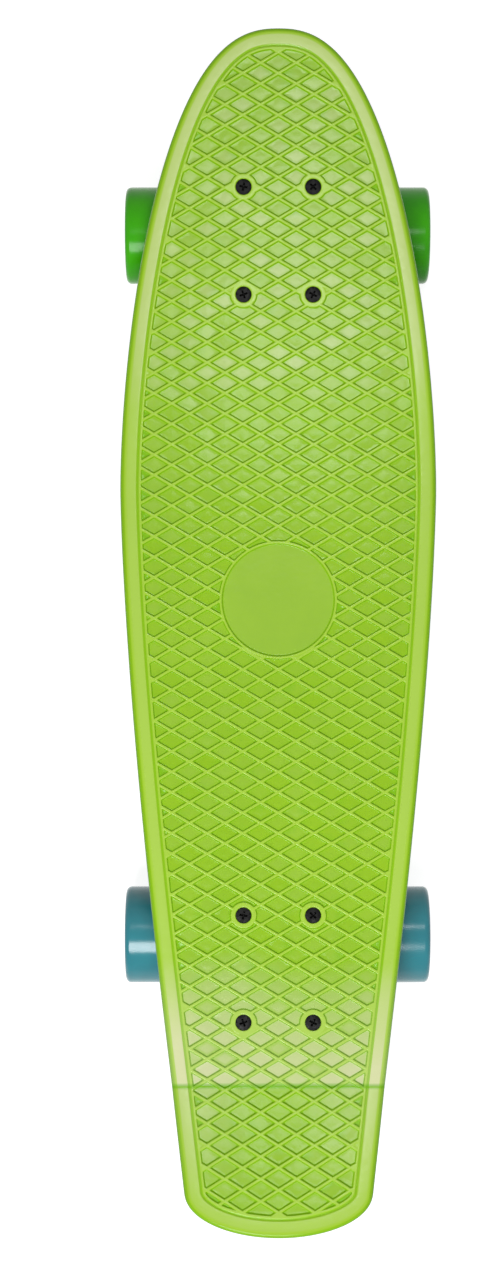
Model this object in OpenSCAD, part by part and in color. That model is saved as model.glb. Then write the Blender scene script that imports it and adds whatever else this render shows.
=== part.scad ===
// Moulded plastic cruiser skateboard: waffle-top deck, two kingpin trucks, four urethane wheels.
// Units are millimetres. +Z is up, +Y points to the nose, +X is the rider's right.
// The origin is on the ground, under the middle of the deck's length.

/* [Deck outline] */
// Width of the deck at its widest
deck_w = 188; // [178:1:200]
// Length of deck ahead of the front truck's bolt centre
nose_len = 124.5; // [118:0.5:135]
// Distance between the bolt centres of the two trucks
wheelbase = 432; // [415:1:450]
// Length of deck behind the rear truck's bolt centre
tail_len = 152.5; // [146:0.5:165]
// Distance from the front truck's bolt centre back to the widest place
widest_back = 147; // [130:1:165]
// Width that the sides run to at the tail end
tail_w = 104; // [98:1:112]
// Length over which the tail's corners round off
tail_corner = 24; // [18:1:30]

/* [Deck section] */
// Height of the rim, from the top face to the bottom edge
deck_t = 11; // [10:0.5:13]
// Thickness of the moulded plate inside the rim
plate_t = 5; // [4.5:0.5:6]
// Width of the solid rim round the hollow underside
rim_w = 9; // [8:0.5:11]
// Radius of the rim's top edge
rim_top_r = 4.5; // [3:0.5:5]
// Radius of the rim's bottom edge
rim_low_r = 2.5; // [1.5:0.5:3]
// Height of the nose tip above the middle of the deck
nose_rise = 10; // [6:0.5:13]
// Length of the nose's upward curve
nose_curve = 205; // [180:1:220]
// Height of the kicktail's crease above the middle of the deck
crease_rise = 4; // [2:0.5:5]
// Distance of the crease behind the rear truck's bolt centre
crease_back = 69; // [64:0.5:76]
// Length of the gentle ramp that leads up to the crease
ramp_len = 94; // [80:1:110]
// Angle of the kicktail
kick_angle = 20; // [14:0.5:24]

/* [Waffle] */
// Width of one diamond, across the deck
cell_w = 21.1; // [19:0.1:24]
// Length of one diamond, along the deck
cell_l = 12.15; // [11:0.05:14]
// Width of the raised ribs
grip_rib = 2; // [1.5:0.1:2.6]
// Depth of the diamonds below the ribs
grip_depth = 1.2; // [0.8:0.1:1.6]
// Width of the plain border round the waffle, with its rib
border_w = 12.5; // [11:0.5:15]
// Width of the rib that frames the waffle
border_rib = 1.7; // [1.4:0.1:2]
// Width of the fine groove between the frame rib and the smooth band
groove_w = 0.8; // [0.6:0.1:1.2]
// Depth of that groove
groove_depth = 0.5; // [0.3:0.1:0.8]
// Width of the flat collar round each bolt
collar_d = 15.5; // [14:0.5:17]
// Outer width of the round medallion ring
disc_d = 70; // [60:1:76]
// Width of the medallion's ring
disc_ring = 1.6; // [1.2:0.1:2.5]
// Distance of the medallion ahead of the middle of the wheelbase
disc_fwd = 3; // [0:0.5:6]

/* [Underside] */
// Thickness of the stiffening ribs
stiff_rib = 3; // [2.5:0.5:4]
// Spacing of the long ribs
long_pitch = 30; // [26:1:36]
// Spacing of the cross ribs
cross_pitch = 38; // [34:1:44]
// Width of the solid pad under each truck
pad_w = 64; // [60:1:70]
// Length of the solid pad under each truck
pad_l = 92; // [88:1:98]

/* [Truck bolts] */
// Spacing of the bolts across the deck
bolt_dx = 41.3; // [41:0.1:42]
// Spacing of the bolts along the deck
bolt_dy = 63.5; // [63:0.1:64]
// Diameter of the bolt shank
bolt_d = 4.8; // [4.6:0.1:5]
// Diameter of the countersunk head
bolt_head_d = 9.5; // [9:0.1:10]
// Length of the bolt over its head
bolt_len = 28; // [27:0.5:31]
// Width of the lock nuts across the flats
bolt_nut_af = 9.5; // [9:0.1:9.6]
// Height of the lock nuts
bolt_nut_h = 6; // [5:0.5:7]
// Gap between a bolt shank and its hole, on the radius
bolt_gap = 0.25; // [0.2:0.05:0.4]

/* [Truck] */
// Height from the axle to the face that bolts to the deck
truck_h = 52.5; // [52:0.5:56]
// Distance of the axle from the bolt centre, towards the pivot
axle_fwd = 13.2; // [12:0.1:15]
// Width of the baseplate
base_w = 56; // [54:1:60]
// Length of the baseplate
base_l = 86; // [85:1:90]
// Thickness of the baseplate's flange
base_t = 6.5; // [6:0.5:7]
// Angle of the pivot axis above the ground
pivot_angle = 35; // [33:0.5:36]
// Distance of the hanger ring's centre from the bolt centre, away from the pivot
ring_back = 15; // [14:0.5:16]
// Depth of the hanger ring's centre below the deck face
ring_drop = 39; // [38:0.5:40]
// Distance from the ring's centre to the tip of the pivot, along its axis
pivot_len = 52; // [51:0.5:53]
// Lean of the kingpin from upright
kingpin_lean = 24; // [23:0.5:25]
// Diameter of the kingpin
kingpin_d = 9.5; // [9.3:0.1:9.6]
// Width of the kingpin's head and nut across the flats
kingpin_af = 14.3; // [14:0.1:14.5]
// Height of the kingpin's head
kingpin_head_h = 6; // [5:0.5:7]
// Depth of the kingpin's head below the face that meets the deck
kingpin_sink = 4.5; // [4:0.5:5]
// Height of the kingpin's nut
kingpin_nut_h = 8; // [7:0.5:8.5]
// Length of thread that stands out of the kingpin's nut
kingpin_end = 1.5; // [1:0.5:2]
// Length of the chamfer at the kingpin's tip
kingpin_tip = 1; // [0.5:0.5:1.5]
// Diameter of the hanger's ring
ring_d = 31; // [30:0.5:32]
// Thickness of the hanger's ring
ring_t = 10; // [9:0.5:11]
// Diameter of both bushings
bushing_d = 24; // [22:0.5:25]
// Height of the board-side bushing
barrel_h = 14; // [13:0.5:15]
// Height of the road-side bushing
cone_h = 10.5; // [10:0.5:12]
// Thickness of the bushing washers
washer_t = 1.6; // [1.2:0.1:2]
// Width of the hanger between the wheels
hanger_w = 115; // [112:1:120]
// Diameter of the axle housing beside the wheels
housing_d = 15; // [14:0.5:16]
// Diameter of the axle
axle_d = 7.94; // [7.9:0.01:7.96]

/* [Wheels] */
// Diameter of the wheels
wheel_d = 59; // [58:0.5:60]
// Width of the wheels
wheel_w = 45; // [43:0.5:47]
// Width of the flat tread
tread_w = 39; // [36:1:41]
// Length of the spacer between the two bearings
spacer_l = 10; // [9:0.5:11]
// Thickness of the thin speed rings
speed_ring_t = 1; // [0.8:0.1:1.2]
// Width of the axle nuts across the flats
axle_nut_af = 12.7; // [12.5:0.1:13]
// Height of the axle nuts
axle_nut_h = 8; // [7:0.5:8.5]

/* [Hidden] */

// Heights
axle_z = wheel_d / 2;
pad_z = axle_z + truck_h;
top_z = pad_z + deck_t;

// Places along the board
deck_len = nose_len + wheelbase + tail_len;
nose_y = deck_len / 2;
tail_y = -deck_len / 2;
front_y = nose_y - nose_len;
rear_y = tail_y + tail_len;
widest_y = front_y - widest_back;
crease_y = rear_y - crease_back;
ramp_y = crease_y + ramp_len;
curve_y = nose_y - nose_curve;
disc_y = (front_y + rear_y) / 2 + disc_fwd;

// Distance from the front truck's bolt centre forward to the nearest crossing of ribs
lattice_fwd = 0.9;

// Shape of the outline: how full the nose is and how the sides draw in to the tail
nose_full = 1.75;
nose_blunt = 0.41;
side_taper = 1.46;
corner_full = 2.2;

// 608 bearing
bearing_d = 22;
bearing_bore = 8;
bearing_w = 7;
race_pitch_r = 7.5;
ball_r = 3.969 / 2;
ball_gap = 0.025;
ball_count = 7;
outer_race_r = 9.2;
inner_race_r = 6.05;
cage_wall = 0.9;
cage_top = 2.7;
cage_low = -0.8;
cage_gap = 0.08;
shield_t = 0.35;
shield_inset = 0.3;
shield_seat = 0.25;
shield_gap = 0.35;

// Places along the axle, from the middle of the truck
pack_w = 2 * bearing_w + spacer_l;
bearing_z = (spacer_l + bearing_w) / 2;
wheel_x = hanger_w / 2 + speed_ring_t + pack_w / 2;
axle_nut_x = wheel_x + pack_w / 2 + speed_ring_t;
axle_end = 1;
axle_tip = 1;
axle_l = 2 * (axle_nut_x + axle_nut_h + axle_end);
fit_gap = 0.03;

// Length that carries a cutter right out of a piece
clear = 60;
$fn = 64;

// ---------------------------------------------------------------- deck

function nose_share(y, inset) =
    pow(max(0, 1 - pow((y - widest_y) / (nose_y - inset - widest_y), nose_full)), nose_blunt);

function tail_draw(y) = (deck_w - tail_w) / 2 * pow((widest_y - y) / (widest_y - tail_y), side_taper);

function side_half(y, inset) = y > widest_y
    ? (deck_w / 2 - inset) * nose_share(y, inset)
    : deck_w / 2 - inset - tail_draw(y);

function corner_share(y, inset) = y - tail_y - inset >= tail_corner ? 1
    : sqrt(max(0, 1 - pow(1 - (y - tail_y - inset) / tail_corner, corner_full)));

function half_width(y, inset) = side_half(y, inset) * corner_share(y, inset);

// Height of the top face over the middle of the deck
function rise(y) = y > curve_y ? nose_rise * pow((y - curve_y) / nose_curve, 2)
    : y < crease_y ? crease_rise + (crease_y - y) * tan(kick_angle)
    : y < ramp_y ? crease_rise * pow((ramp_y - y) / ramp_len, 2)
    : 0;

function spread(from, to, steps) = [for (i = [0 : steps - 1]) from + (to - from) * i / steps];

// Stations from the tail end to the nose tip, closer together where the outline turns
function stations(inset) = concat(
    [for (i = [0 : 9]) tail_y + inset + tail_corner * (1 - cos(9 * i))],
    spread(tail_y + inset + tail_corner, crease_y, 4),
    spread(crease_y, ramp_y, 6),
    spread(ramp_y, widest_y, 12),
    [for (i = [0 : 27]) widest_y + (nose_y - inset - widest_y) * sin(90 * i / 28)],
    [nose_y - inset]);

function right_side(inset) = [for (y = stations(inset)) [max(half_width(y, inset), 0), y]];

// One closed ring round the deck: up the right side, then down the left
function ring_points(inset, drop) = let(side = right_side(inset), n = len(side)) concat(
    [for (p = side) [p.x, p.y, top_z + rise(p.y) - drop]],
    [for (i = [n - 2 : -1 : 1]) [-side[i].x, side[i].y, top_z + rise(side[i].y) - drop]]);

rim_turns = concat(
    [for (a = [0 : 18 : 90]) [rim_top_r * (1 - sin(a)), rim_top_r * (1 - cos(a))]],
    [for (a = [0 : 30 : 90]) [rim_low_r * (1 - cos(a)), deck_t - rim_low_r * (1 - sin(a))]]);

// The solid blank of the deck, lofted ring by ring from the top face round the rim to the bottom
module deck_blank() {
    rings = [for (turn = rim_turns) ring_points(turn[0], turn[1])];
    per = len(rings[0]);
    side = len(right_side(0));
    last = (len(rings) - 1) * per;
    walls = [for (r = [0 : len(rings) - 2], i = [0 : per - 1]) let(j = (i + 1) % per)
        [r * per + i, r * per + j, (r + 1) * per + j, (r + 1) * per + i]];
    cross = [for (i = [1 : side - 3]) [i, i + 1, per - i - 1, per - i]];
    ends = [[0, 1, per - 1], [side - 2, side - 1, side]];
    caps = concat(ends, cross);
    polyhedron(
        points = [for (ring = rings) each ring],
        faces = concat(
            [for (f = walls) f],
            [for (f = caps) [for (k = [len(f) - 1 : -1 : 0]) f[k]]],
            [for (f = caps) [for (k = f) k + last]]));
}

module plan(inset) {
    side = right_side(0);
    offset(delta = -inset)
        polygon(concat(side, [for (i = [len(side) - 2 : -1 : 1]) [-side[i].x, side[i].y]]));
}

// A slab as wide as the deck that follows its side profile between two depths below the top face
module profile_slab(high, low) {
    along = stations(0);
    rotate([90, 0, 90])
        linear_extrude(deck_w + 20, center = true)
            polygon(concat(
                [for (y = along) [y, top_z + rise(y) - low]],
                [for (i = [len(along) - 1 : -1 : 0]) [along[i], top_z + rise(along[i]) - high]]));
}

module at_bolts(truck_y) {
    for (x = [-bolt_dx / 2, bolt_dx / 2], y = [-bolt_dy / 2, bolt_dy / 2])
        translate([x, truck_y + y]) children();
}

module at_all_bolts() {
    at_bolts(front_y) children();
    at_bolts(rear_y) children();
}

// The fine groove that sets the smooth band off from the frame rib
module groove_plan() {
    difference() {
        plan(border_w - border_rib - groove_w);
        plan(border_w - border_rib);
    }
}

// The diamonds: a lattice with one crossing of ribs close to the front truck's bolt centre
module diamonds() {
    lattice_y = front_y + lattice_fwd;
    a = cell_w / 2;
    b = cell_l / 2;
    shrink = 1 - grip_rib / 2 * norm([a, b]) / (a * b);
    rows = floor((nose_y - lattice_y) / b);
    low_rows = floor((lattice_y - tail_y) / b);
    columns = floor(deck_w / 2 / a);
    for (j = [-low_rows : rows], i = [-columns : columns])
        if ((i + j) % 2 != 0)
            let(x = i * a, y = lattice_y + j * b,
                inside_y = min(max(y, tail_y + border_w), nose_y - border_w),
                room = half_width(inside_y, 0) - border_w - abs(x))
            if (room > -0.3 * a && abs(y - inside_y) < 0.3 * b)
                translate([x, y])
                    polygon(shrink * [[a, 0], [0, b], [-a, 0], [0, -b]]);
}

module waffle_plan() {
    difference() {
        intersection() {
            plan(border_w);
            diamonds();
        }
        translate([0, disc_y]) circle(d = disc_d);
        at_all_bolts() circle(d = collar_d);
    }
    translate([0, disc_y]) circle(d = disc_d - 2 * disc_ring);
}

module pad_plan(truck_y) {
    translate([0, truck_y]) square([pad_w, pad_l], center = true);
}

// The hollow cells of the underside, between the rim, the ribs and the truck pads
module hollow_plan() {
    long_ribs = floor((deck_w / 2 - rim_w) / long_pitch);
    cross_ribs = floor((deck_len / 2 - rim_w) / cross_pitch);
    difference() {
        plan(rim_w);
        for (i = [-long_ribs : long_ribs])
            translate([i * long_pitch, 0]) square([stiff_rib, deck_len], center = true);
        for (i = [-cross_ribs : cross_ribs])
            translate([0, i * cross_pitch]) square([deck_w, stiff_rib], center = true);
        pad_plan(front_y);
        pad_plan(rear_y);
    }
}

bolt_sink = (bolt_head_d - bolt_d) / 2;

// Height of the flat top of a bolt's head, just under the face of its collar
head_sink = 0.3;
function head_z(y) = top_z + rise(y) - head_sink;

module bolt_bores(truck_y) {
    for (y = [-bolt_dy / 2, bolt_dy / 2], x = [-bolt_dx / 2, bolt_dx / 2])
        translate([x, truck_y + y, 0]) {
            translate([0, 0, pad_z - 1]) cylinder(d = bolt_d + 2 * bolt_gap, h = deck_t + nose_rise);
            translate([0, 0, head_z(truck_y + y)]) {
                cylinder(d = bolt_head_d, h = deck_t);
                translate([0, 0, -bolt_sink])
                    cylinder(d1 = bolt_d, d2 = bolt_head_d, h = bolt_sink);
            }
        }
}

module deck() {
    color("YellowGreen")
        difference() {
            union() {
                difference() {
                    deck_blank();
                    intersection() {
                        translate([0, 0, pad_z - deck_t]) linear_extrude(deck_t + clear) hollow_plan();
                        profile_slab(plate_t, 2 * deck_t);
                    }
                }
                for (y = [front_y, rear_y])
                    translate([0, 0, pad_z]) linear_extrude(deck_t - plate_t / 2) pad_plan(y);
            }
            intersection() {
                translate([0, 0, pad_z]) linear_extrude(clear) waffle_plan();
                profile_slab(-deck_t, grip_depth);
            }
            intersection() {
                translate([0, 0, pad_z]) linear_extrude(clear) groove_plan();
                profile_slab(-deck_t, groove_depth);
            }
            bolt_bores(front_y);
            bolt_bores(rear_y);
        }
}

// ---------------------------------------------------------------- deck bolts and nuts

module mounting_bolt() {
    difference() {
        union() {
            translate([0, 0, -bolt_sink]) cylinder(d1 = bolt_d, d2 = bolt_head_d, h = bolt_sink);
            translate([0, 0, bolt_d / 4 - bolt_len])
                cylinder(d = bolt_d, h = bolt_len - bolt_d / 4 - bolt_sink);
            translate([0, 0, -bolt_len]) cylinder(d1 = bolt_d * 0.7, d2 = bolt_d, h = bolt_d / 4);
        }
        for (turn = [0, 90])
            rotate(turn) cube([bolt_head_d * 0.52, bolt_head_d * 0.1, bolt_sink], center = true);
    }
}

module mounting_bolts(truck_y) {
    color("#222222")
        for (y = [-bolt_dy / 2, bolt_dy / 2], x = [-bolt_dx / 2, bolt_dx / 2])
            translate([x, truck_y + y, head_z(truck_y + y)]) mounting_bolt();
}

// A nut with a plain collar over its locking ring, face down from z = 0
module lock_nut(across, height, bore) {
    hex_h = height * 0.72;
    difference() {
        union() {
            translate([0, 0, -hex_h]) cylinder(d = across / cos(30), h = hex_h, $fn = 6);
            translate([0, 0, -height]) cylinder(d = across * 0.9, h = height);
        }
        translate([0, 0, -height - 1]) cylinder(d = bore + 2 * fit_gap, h = height + 2);
    }
}

module lock_nuts(truck_y) {
    color("DimGray")
        at_bolts(truck_y) translate([0, 0, pad_z - base_t]) lock_nut(bolt_nut_af, bolt_nut_h, bolt_d);
}

// ---------------------------------------------------------------- truck frames

// From the face that bolts to the deck, with +Y towards the pivot
module at_truck(truck_y) {
    translate([0, truck_y, pad_z]) children();
}

// From the ring's centre, with +Z up the kingpin
module on_kingpin() {
    translate([0, -ring_back, -ring_drop]) rotate([kingpin_lean, 0, 0]) children();
}

// From the ring's centre, with +Z up the pivot axis
module on_pivot() {
    translate([0, -ring_back, -ring_drop]) rotate([pivot_angle - 90, 0, 0]) children();
}

// From the middle of the axle, with +Z along the axle to the right
module on_axle() {
    translate([0, axle_fwd, -truck_h]) rotate([0, 90, 0]) children();
}

// ---------------------------------------------------------------- baseplate, pivot cup and kingpin

// Heights up the kingpin from the ring's centre
washer_at = ring_t / 2 + barrel_h;
seat_at = washer_at + washer_t;
head_at = (ring_drop - kingpin_sink) / cos(kingpin_lean) - kingpin_head_h;
road_washer_at = -ring_t / 2 - cone_h - washer_t;
pocket_gap = 0.3;

// The pivot's nose and its cup
nose_r = 5.5;
cup_r = 8;
cup_len = 14.5;
cup_floor = 2.4;
cup_gap = 0.06;
boss_wall = 3;
cup_at = pivot_len + cup_floor - cup_len;
lip = 1.2;

module base_plan() {
    waist_r = 40;
    waist = 4;
    difference() {
        offset(r = 8) square([base_w - 16, base_l - 16], center = true);
        for (side = [-1, 1])
            translate([side * (base_w / 2 + waist_r - waist), 0]) circle(r = waist_r);
    }
}

module baseplate() {
    seat_r = bushing_d / 2 + lip + 0.8;
    color("Silver")
        difference() {
            union() {
                translate([0, 0, -base_t]) linear_extrude(base_t) base_plan();
                // boss that the kingpin stands in
                hull() {
                    on_kingpin() translate([0, 0, seat_at]) cylinder(r = seat_r, h = 2, $fn = 32);
                    for (y = [-base_l / 2 + 15.5, -ring_back - 3])
                        translate([0, y, -base_t]) cylinder(r = 13.5, h = 1, $fn = 32);
                }
                // boss that holds the pivot cup
                hull() {
                    on_pivot() translate([0, 0, cup_at - 1])
                        cylinder(r = cup_r + boss_wall, h = cup_len, $fn = 32);
                    for (y = [20, 30])
                        translate([0, y, -base_t]) cylinder(r = cup_r + boss_wall, h = 1, $fn = 32);
                }
            }
            // nothing stands above the face that meets the deck
            translate([-base_w, -base_l, 0]) cube([2 * base_w, 2 * base_l, clear]);
            for (x = [-bolt_dx / 2, bolt_dx / 2], y = [-bolt_dy / 2, bolt_dy / 2])
                translate([x, y, -base_t - 1]) cylinder(d = bolt_d + 2 * bolt_gap, h = base_t + 2);
            on_kingpin() {
                translate([0, 0, seat_at - 1])
                    cylinder(d = kingpin_d + 2 * fit_gap, h = head_at - seat_at + 2);
                translate([0, 0, head_at])
                    cylinder(d = (kingpin_af + 2 * pocket_gap) / cos(30), h = clear, $fn = 6);
            }
            on_pivot() translate([0, 0, cup_at - 2]) cylinder(r = cup_r, h = cup_len + 2);
        }
}

module pivot_cup() {
    color("Ivory")
        on_pivot() difference() {
            translate([0, 0, cup_at]) cylinder(r = cup_r, h = cup_len);
            translate([0, 0, cup_at - 1]) cylinder(r = nose_r + cup_gap, h = pivot_len - nose_r - cup_at + 1);
            translate([0, 0, pivot_len - nose_r]) sphere(r = nose_r + cup_gap);
        }
}

module kingpin() {
    end_at = road_washer_at - kingpin_nut_h - kingpin_end;
    color("Gray")
        on_kingpin() {
            translate([0, 0, head_at]) cylinder(d = kingpin_af / cos(30), h = kingpin_head_h, $fn = 6);
            translate([0, 0, end_at + kingpin_tip])
                cylinder(d = kingpin_d, h = head_at - end_at - kingpin_tip);
            translate([0, 0, end_at])
                cylinder(d1 = kingpin_d - 2 * kingpin_tip, d2 = kingpin_d, h = kingpin_tip);
        }
}

module kingpin_nut() {
    color("DimGray")
        on_kingpin() translate([0, 0, road_washer_at]) lock_nut(kingpin_af, kingpin_nut_h, kingpin_d);
}

// ---------------------------------------------------------------- bushings and their washers

// A cup washer on z = 0 whose lip stands up round a bushing of radius r
module cup_washer(r) {
    rotate_extrude()
        polygon([[kingpin_d / 2 + 2 * fit_gap, 0], [r + lip, 0], [r + lip, washer_t + 1.2],
                 [r + 0.15, washer_t + 1.2], [r + 0.15, washer_t], [kingpin_d / 2 + 2 * fit_gap, washer_t]]);
}

module board_washer() {
    color("Silver") on_kingpin() translate([0, 0, seat_at]) mirror([0, 0, 1]) cup_washer(bushing_d / 2);
}

module road_washer() {
    color("Silver") on_kingpin() translate([0, 0, road_washer_at]) cup_washer(cone_small_r);
}

bushing_bore = kingpin_d / 2 + 2 * fit_gap;
cone_small_r = bushing_d / 2 * 0.75;

module board_bushing() {
    bulge = 0.5;
    color("WhiteSmoke")
        on_kingpin() rotate_extrude()
            polygon([[bushing_bore, ring_t / 2], [bushing_d / 2 - bulge, ring_t / 2],
                     [bushing_d / 2, ring_t / 2 + 2], [bushing_d / 2, washer_at - 2],
                     [bushing_d / 2 - bulge, washer_at], [bushing_bore, washer_at]]);
}

module road_bushing() {
    low = road_washer_at + washer_t;
    color("WhiteSmoke")
        on_kingpin() rotate_extrude()
            polygon([[bushing_bore, low], [cone_small_r, low], [cone_small_r, low + 2.5],
                     [bushing_d / 2, -ring_t / 2 - 3], [bushing_d / 2, -ring_t / 2],
                     [bushing_bore, -ring_t / 2]]);
}

// ---------------------------------------------------------------- hanger and axle

ring_bore = kingpin_d + 4;
nut_room = 2.4;
neck_r = 8;
neck_at = 15;
beam_mid_r = 9;
beam_end = 12;

// Half of the axle housing's profile: slim beside the wheels, swelling to the middle
module beam_profile() {
    half = hanger_w / 2;
    steps = 12;
    polygon(concat(
        [[0, 0]],
        [for (i = [0 : steps]) let(share = i / steps)
            [housing_d / 2 + (beam_mid_r - housing_d / 2) * (1 + cos(180 * share)) / 2,
             share * (half - beam_end)]],
        [[housing_d / 2, half], [0, half]]));
}

module hanger_beam() {
    on_axle() {
        rotate_extrude() beam_profile();
        mirror([0, 0, 1]) rotate_extrude() beam_profile();
    }
}

module hanger() {
    color("Silver")
        difference() {
            union() {
                hanger_beam();
                on_kingpin() translate([0, 0, -ring_t / 2]) cylinder(d = ring_d, h = ring_t);
                // arms from the ring down to the axle housing
                hull() {
                    on_kingpin() translate([0, 7, -ring_t / 2 + 1])
                        cylinder(r = ring_d / 2 - 4, h = ring_t - 2, $fn = 32);
                    on_axle() cylinder(r = housing_d / 2 - 1, h = hanger_w * 0.48, center = true, $fn = 32);
                }
                // gusset from the axle housing up to the neck
                hull() {
                    on_pivot() translate([0, 0, neck_at + 5]) cylinder(r = neck_r - 2, h = 11, $fn = 32);
                    on_axle() cylinder(r = housing_d / 2 - 1.5, h = hanger_w * 0.26, center = true, $fn = 32);
                }
                // neck and pivot nose
                on_pivot() {
                    translate([0, 0, neck_at - 2]) cylinder(r1 = neck_r - 3.5, r2 = neck_r, h = 14);
                    translate([0, 0, neck_at + 12]) cylinder(r = neck_r, h = 4);
                    translate([0, 0, neck_at + 16]) cylinder(r1 = neck_r, r2 = nose_r, h = 4);
                    translate([0, 0, neck_at + 20])
                        cylinder(r = nose_r, h = pivot_len - nose_r - neck_at - 20);
                    translate([0, 0, pivot_len - nose_r]) sphere(r = nose_r);
                }
            }
            on_kingpin() {
                translate([0, 0, -ring_t]) cylinder(d = ring_bore, h = 2 * ring_t);
                // room for the road-side bushing, its washer and the kingpin nut
                kingpin_room(bushing_d / 2 + 1.3, -ring_t / 2, ring_t / 2 + cone_h + washer_t + 0.5);
                kingpin_room(kingpin_af / 2 + nut_room, -ring_t / 2, clear);
                // room for the board-side bushing
                translate([0, 0, ring_t / 2]) cylinder(r = bushing_d / 2 + 0.6, h = barrel_h);
            }
            on_axle() cylinder(d = axle_d, h = hanger_w + 2, center = true);
        }
}

// A slot below the ring, wider across the truck because the hanger swings past the kingpin
module kingpin_room(r, from, deep) {
    swing = 4.5;
    for (x = [-swing, swing])
        translate([x, 0, from - deep]) cylinder(r = r, h = deep);
    translate([-swing, -r, from - deep]) cube([2 * swing, 2 * r, deep]);
}

module axle() {
    color("Silver")
        on_axle() {
            cylinder(d = axle_d, h = axle_l - 2 * axle_tip, center = true);
            for (side = [0, 1])
                mirror([0, 0, side]) translate([0, 0, axle_l / 2 - axle_tip])
                    cylinder(d1 = axle_d, d2 = axle_d - 1.5 * axle_tip, h = axle_tip);
        }
}

module speed_rings() {
    color("Silver")
        on_axle() for (side = [0, 1], x = [hanger_w / 2, axle_nut_x - speed_ring_t])
            mirror([0, 0, side]) translate([0, 0, x]) difference() {
                cylinder(r = inner_race_r - 0.2, h = speed_ring_t);
                translate([0, 0, -1]) cylinder(d = axle_d + 2 * fit_gap, h = speed_ring_t + 2);
            }
}

module axle_nuts() {
    color("DimGray")
        on_axle() for (side = [0, 1])
            mirror([0, 0, side]) translate([0, 0, axle_nut_x]) mirror([0, 0, 1])
                lock_nut(axle_nut_af, axle_nut_h, axle_d);
}

// ---------------------------------------------------------------- wheels and bearings

// From the middle of a wheel, with +Z outwards along the axle
module at_wheel(truck_y, side) {
    at_truck(truck_y) on_axle() mirror([0, 0, side < 0 ? 1 : 0]) translate([0, 0, wheel_x]) children();
}

// Inner radius of the wheel between its two bearing seats
race_seat_r = 9;

module wheel(paint) {
    lip_r = (wheel_w - tread_w) / 2;
    face_r = wheel_d / 2 - lip_r;
    dish_r = 15;
    half = [
        [race_seat_r, spacer_l / 2], [bearing_d / 2, spacer_l / 2], [bearing_d / 2, pack_w / 2 + 0.3],
        [dish_r, pack_w / 2 + 1.5], [face_r - 2, wheel_w / 2 - 0.4]];
    round = [for (a = [90 : -15 : 0]) [face_r + lip_r * cos(a), tread_w / 2 + lip_r * sin(a)]];
    outer = concat(half, round);
    color(paint)
        rotate_extrude(convexity = 6, $fn = 96)
            polygon(concat(outer, [for (i = [len(outer) - 1 : -1 : 0]) [outer[i].x, -outer[i].y]]));
}

module both_bearings() {
    for (z = [-bearing_z, bearing_z]) translate([0, 0, z]) children();
}

module groove_profile() {
    translate([race_pitch_r, 0]) circle(r = ball_r + ball_gap);
}

module outer_races() {
    half = bearing_w / 2;
    step = half - shield_inset - shield_t;
    color("LightGray")
        both_bearings() rotate_extrude(convexity = 6) difference() {
            polygon([[bearing_d / 2, -half], [bearing_d / 2, half], [outer_race_r + shield_seat, half],
                     [outer_race_r + shield_seat, step], [outer_race_r, step], [outer_race_r, -step],
                     [outer_race_r + shield_seat, -step], [outer_race_r + shield_seat, -half]]);
            groove_profile();
        }
}

module inner_races() {
    color("LightGray")
        both_bearings() rotate_extrude(convexity = 6) difference() {
            translate([bearing_bore / 2, -bearing_w / 2])
                square([inner_race_r - bearing_bore / 2, bearing_w]);
            groove_profile();
        }
}

module at_balls() {
    for (i = [0 : ball_count - 1])
        rotate(i * 360 / ball_count) translate([race_pitch_r, 0, 0]) children();
}

module balls() {
    color("White") both_bearings() at_balls() sphere(r = ball_r, $fn = 32);
}

module cages() {
    color("Tan")
        both_bearings() difference() {
            translate([0, 0, cage_low]) cylinder(r = race_pitch_r + cage_wall, h = cage_top - cage_low);
            translate([0, 0, cage_low - 1])
                cylinder(r = race_pitch_r - cage_wall, h = cage_top - cage_low + 2);
            at_balls() sphere(r = ball_r + cage_gap, $fn = 32);
        }
}

module shields() {
    step = bearing_w / 2 - shield_inset - shield_t;
    color("DarkSlateGray")
        both_bearings() for (side = [0, 1])
            mirror([0, 0, side]) translate([0, 0, step]) difference() {
                cylinder(r = outer_race_r + shield_seat, h = shield_t);
                translate([0, 0, -1]) cylinder(r = inner_race_r + shield_gap, h = shield_t + 2);
            }
}

module spacer() {
    color("Silver") difference() {
        cylinder(r = inner_race_r - 0.4, h = spacer_l, center = true);
        cylinder(d = axle_d + 2 * fit_gap, h = spacer_l + 2, center = true);
    }
}

// ---------------------------------------------------------------- the board

deck();
mounting_bolts(front_y);  // front_mounting_bolts
mounting_bolts(rear_y);  // rear_mounting_bolts
lock_nuts(front_y);  // front_lock_nuts
lock_nuts(rear_y);  // rear_lock_nuts

at_truck(front_y) baseplate();  // front_baseplate
at_truck(front_y) pivot_cup();  // front_pivot_cup
at_truck(front_y) kingpin();  // front_kingpin
at_truck(front_y) board_washer();  // front_board_washer
at_truck(front_y) board_bushing();  // front_board_bushing
at_truck(front_y) road_bushing();  // front_road_bushing
at_truck(front_y) road_washer();  // front_road_washer
at_truck(front_y) kingpin_nut();  // front_kingpin_nut
at_truck(front_y) hanger();  // front_hanger
at_truck(front_y) axle();  // front_axle
at_truck(front_y) speed_rings();  // front_speed_rings
at_truck(front_y) axle_nuts();  // front_axle_nuts

at_truck(rear_y) baseplate();  // rear_baseplate
at_truck(rear_y) pivot_cup();  // rear_pivot_cup
at_truck(rear_y) kingpin();  // rear_kingpin
at_truck(rear_y) board_washer();  // rear_board_washer
at_truck(rear_y) board_bushing();  // rear_board_bushing
at_truck(rear_y) road_bushing();  // rear_road_bushing
at_truck(rear_y) road_washer();  // rear_road_washer
at_truck(rear_y) kingpin_nut();  // rear_kingpin_nut
at_truck(rear_y) hanger();  // rear_hanger
at_truck(rear_y) axle();  // rear_axle
at_truck(rear_y) speed_rings();  // rear_speed_rings
at_truck(rear_y) axle_nuts();  // rear_axle_nuts

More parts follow.
